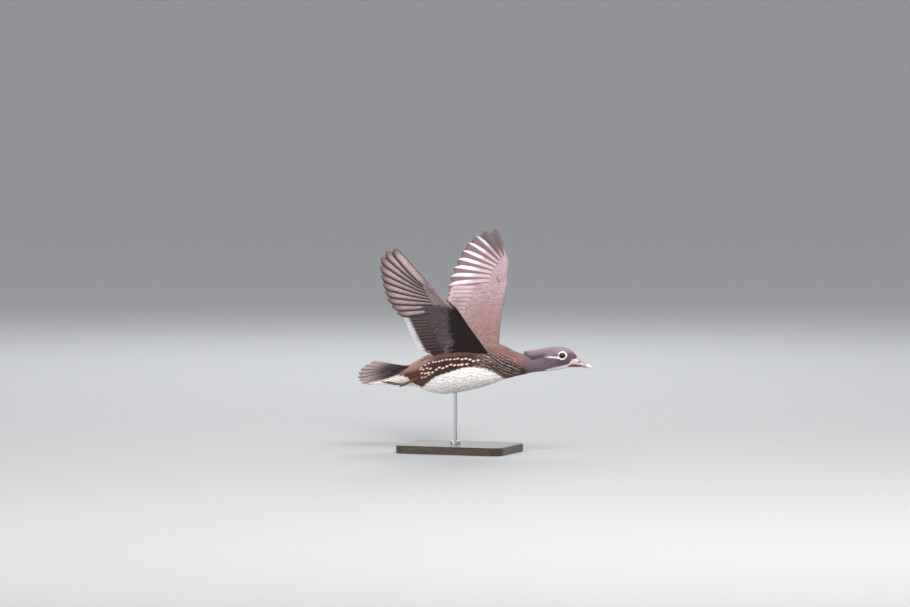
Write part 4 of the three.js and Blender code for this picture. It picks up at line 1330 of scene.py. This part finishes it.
def eyeball(side, side_name):
    """A dark glossy eye that bulges a little over its pupil."""
    rings, sides = 40, 48
    polar, turn = grid(np.linspace(0, np.pi, rings), circle(sides))
    dome = EYE["radius"] + 0.35 * ease(0.75, 0.2, polar)
    x = EYE["x"] + dome * np.sin(polar) * np.cos(turn)
    z = EYE["z"] + dome * np.sin(polar) * np.sin(turn)
    points = bend_neck(x, side * (EYE["y"] + dome * np.cos(polar)), z)
    iris = mix(tone(44, 26, 18), tone(22, 13, 10), 0.5 + 0.5 * np.sin(turn * 23 + polar * 9))
    colours = mix(iris, tone(6, 5, 5), ease(0.56, 0.5, polar))
    build_mesh("eyeball_" + side_name, points, turned(wall_quads(rings, sides)), colours, {}, EYE_GLOSS,
               "eye", ("eye_" + side_name,))


def eyelids(side, side_name):
    """A soft rim round the eye, drawn to a point at its front and rear corners."""
    around, sides = 72, 12
    long, high, rim = 5.1, 4.7, 0.75
    turn, ring = grid(circle(around), circle(sides))
    corner = 0.5 * np.abs(np.cos(turn)) ** 8
    x = EYE["x"] + (long + corner + rim * np.cos(ring)) * np.cos(turn)
    z = EYE["z"] + (high + rim * np.cos(ring)) * np.sin(turn)
    off = np.hypot(x - EYE["x"], z - EYE["z"])
    ball = EYE["y"] + np.sqrt(np.maximum(EYE["radius"] ** 2 - off**2, 0))
    head = np.abs(along(BODY, x)[2] * np.cos(angle_at(x, z, 1)))
    points = bend_neck(x, side * (np.maximum(ball, head - 0.3) + 0.1 + 0.65 * np.sin(ring)), z)
    colours = mix(WHITE, LID, ease(0.7, 0.1, np.cos(ring)))
    build_mesh("eyelids_" + side_name, points, wall_quads(around, sides, closed=True), colours, {}, SKIN,
               "plumage_head")


# Legs and feet
HEEL = np.array((-66, -27.5, -18))
ANKLE = np.array((-96, -25.6, -31.5))
TOE_RISE = {"left": 0, "right": 5}
TOE_PLACES = np.array([0, 0.3, 0.6, 0.85, 1])
# Toes: how far each spreads sideways, and its length
TOES = ((-7.5, 38), (-1.5, 44), (4.5, 36))


def tube(points, radii, sides=14, steps=8):
    """A smooth scaly tube through points: its points, its faces and each point's place along it."""
    last = len(points) - 1
    place = np.linspace(0, last, last * steps + 1)
    x, y, z, radius = along(np.column_stack([np.arange(last + 1), points, radii]).astype(float), place)
    reach = radius * (1 + 0.05 * np.sin(place * steps * 1.6))
    points = rings_along(joined(x, y, z), reach, sides, [0, 0, 1.0])
    return points, tube_quads(len(place), sides), np.repeat(place / last, sides)


def scale_tint(share, bands):
    """Bands of scales along a leg or toe."""
    return mix(FOOT, FOOT * 0.6, 0.5 + 0.5 * np.sin(share * bands))


def leg_and_foot(side, side_name):
    """A leg that trails back under the tail, and its folded foot."""
    mirror = np.array([1, -side, 1])
    shin = ANKLE - HEEL
    shank = [HEEL + [12, 6, 6], HEEL, HEEL + shin * 0.35 + [0, -0.6, 0], HEEL + shin * 0.7, ANKLE]
    points, quads, share = tube(shank * mirror, [5, 3.6, 2.5, 2.2, 2.6])
    build_mesh("leg_skin_" + side_name, points, quads, scale_tint(share, 60), {}, SCALES, "leg_skin",
               ("leg_" + side_name,))
    parts, lines = [], []
    t = TOE_PLACES
    for spread, length in TOES:
        sideways = spread * np.sin(np.pi / 2 * t)
        line = ANKLE + np.stack([2 - length * t, sideways, TOE_RISE[side_name] * t * t], -1)
        lines.append(line)
        points, quads, share = tube(line * mirror, [2.4, 1.8, 1.5, 1.3, 0.25])
        parts.append((points, quads, mix(scale_tint(share, 70), CLAW, ease(0.86, 0.92, share))))
    hind = ANKLE + np.array([[-2, 1, 0], [-5, 3, -3], [-10, 4, -4.5]])
    points, quads, share = tube(hind * mirror, [1.7, 1.2, 0.3])
    parts.append((points, quads, mix(FOOT, CLAW, ease(0.8, 0.9, share))))
    for first, second in zip(lines, lines[1:]):
        parts.append(web(first, second, mirror))
    build_mesh("foot_skin_" + side_name, *join_parts(parts), {}, SCALES, "leg_skin",
               ("foot_" + side_name,))


def web(first, second, mirror):
    """The folded web between two toes, slack in the middle."""
    rows, columns, end = 12, 7, 0.84
    share, across = grid(np.linspace(0, end, rows), np.linspace(0, 1, columns))
    edges = []
    for line in (first, second):
        edges.append(joined(*[np.interp(share, TOE_PLACES, coordinate) for coordinate in line.T]))
    middle = edges[0] + (edges[1] - edges[0]) * across[..., None]
    middle[..., 2] -= 1.4 * np.sin(np.pi * across) * np.sin(np.pi * share / end)
    points = np.concatenate([(middle + [0, 0, h]).reshape(-1, 3) for h in (0.3, -0.3)]) * mirror
    face = wall_quads(rows, columns, around=False)
    left, front = np.arange(rows) * columns, np.arange(columns) + (rows - 1) * columns
    right, rear = left + columns - 1, np.arange(columns)
    rim = np.concatenate([left, front[1:], right[-2::-1], rear[-2:0:-1]])
    after = np.roll(rim, -1)
    below = rows * columns
    wall = np.stack([rim, after, after + below, rim + below], -1)
    quads = np.concatenate([face, face[:, ::-1] + below, wall])
    return points, quads, np.broadcast_to(FOOT * 0.55, points.shape)


# Stand

def wood_material():
    look = Look("dark_wood")
    grain = look.noise({"Scale": 4, "Detail": 8, "Distortion": 1.2}, (3, 34, 34))
    stops = ((0.35, (0.012, 0.007, 0.005, 1)), (0.72, (0.055, 0.03, 0.018, 1)))
    return look.surface({
        "Base Color": look.ramp(grain, *stops),
        "Normal": look.bump(grain, 0.2, 0.0003),
        "Roughness": 0.38,
        "Coat Weight": 0.3,
    })


def steel_material():
    look = Look("brushed_rod")
    lines = look.noise({"Scale": 1}, (300, 300, 9000))
    return look.surface({
        "Base Color": look.ramp(lines, (0, (0.42, 0.42, 0.43, 1)), (1, (0.6, 0.6, 0.61, 1))),
        "Roughness": look.spread(lines, 0.24, 0.42),
        "Metallic": 1.0,
    })


def stand():
    """Wood and steel for the stand's own solids."""
    wood, steel = wood_material(), steel_material()
    for node, material in (("stand_base", wood), ("stand_collar", steel), ("stand_rod", steel)):
        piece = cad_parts[node]
        piece.data.materials.clear()
        piece.data.materials.append(material)


# Floor, light and camera. Lamps: name, place, power, size and colour
LAMPS = (
    ("key", (1.6, -1.9, 2.4), 115, 1.3, (1, 0.98, 0.95)),
    ("fill", (-1.6, -3.0, 0.7), 48, 2.2, (1, 0.98, 0.96)),
    ("rim", (-1.0, 2.4, 2.2), 60, 1.8, (1, 1, 1)),
)
LAMP_AIM = (0, 0, 0.22)
WORLD = {"Color": (0.9, 0.91, 0.93, 1), "Strength": 0.75}
FLOOR = {"Base Color": (0.36, 0.37, 0.38, 1), "Roughness": 0.9}
FLOOR_REACH = 250
CAMERA = {"azimuth": math.radians(20), "elevation": math.radians(3.5), "distance": 12.0}
SENSOR = 36
FRAME_WIDTH = 910 * 0.001765
AIM_RIGHT, AIM_UP = -0.0082, 0.262


def stage():
    """The floor."""
    mesh = bpy.data.meshes.new("floor")
    corners = [(x * FLOOR_REACH, y * FLOOR_REACH, 0) for x, y in ((-1, -1), (1, -1), (1, 1), (-1, 1))]
    mesh.from_pydata(corners, [], [(0, 1, 2, 3)])
    mesh.materials.append(Look("pale_floor").surface(FLOOR))
    add_object("floor", mesh)


def turn_toward(placed, aim):
    """Points an object's -Z along a direction, with its Y upward."""
    placed.rotation_euler = Vector(aim).to_track_quat("-Z", "Y").to_euler()


def light():
    """Three lamps and an even pale surround."""
    for name, place, power, size, colour in LAMPS:
        data = bpy.data.lights.new(name, "AREA")
        data.energy, data.size, data.color = power, size, colour
        lamp = add_object(name, data)
        lamp.location = place
        turn_toward(lamp, np.subtract(LAMP_AIM, place))
    world = bpy.data.worlds.new("studio")
    world.use_nodes = True
    for key, value in WORLD.items():
        world.node_tree.nodes["Background"].inputs[key].default_value = value
    bpy.context.scene.world = world
    bpy.context.scene.view_settings.view_transform = "Standard"


def camera():
    """A far camera with a long lens, at the photo's angle."""
    a, e, distance = CAMERA["azimuth"], CAMERA["elevation"], CAMERA["distance"]
    right = np.array([math.cos(a), math.sin(a), 0])
    toward = np.array([math.sin(a) * math.cos(e), -math.cos(a) * math.cos(e), math.sin(e)])
    data = bpy.data.cameras.new("camera")
    data.sensor_width = SENSOR
    data.lens = SENSOR * distance / FRAME_WIDTH
    data.clip_end = 1000
    placed = add_object("camera", data)
    placed.location = AIM_RIGHT * right + AIM_UP * np.cross(toward, right) + distance * toward
    turn_toward(placed, -toward)
    bpy.context.scene.camera = placed


def main():
    light()
    camera()
    stage()
    skin_mesh()
    coat()
    flank_feathers()
    scapulars()
    crest()
    for side_name, wing in WINGS.items():
        rng = np.random.default_rng(SEED + 10 + wing["side"])
        wing_skin(side_name, wing)
        flight_feathers(side_name, wing, rng)
        covert_rows(side_name, wing, 1, rng)
        covert_rows(side_name, wing, -1, rng)
        alula(side_name, wing, rng)
    tail()
    bill(True)
    bill(False)
    for side, side_name in SIDES:
        eyeball(side, side_name)
        eyelids(side, side_name)
        leg_and_foot(side, side_name)
    stand()


main()
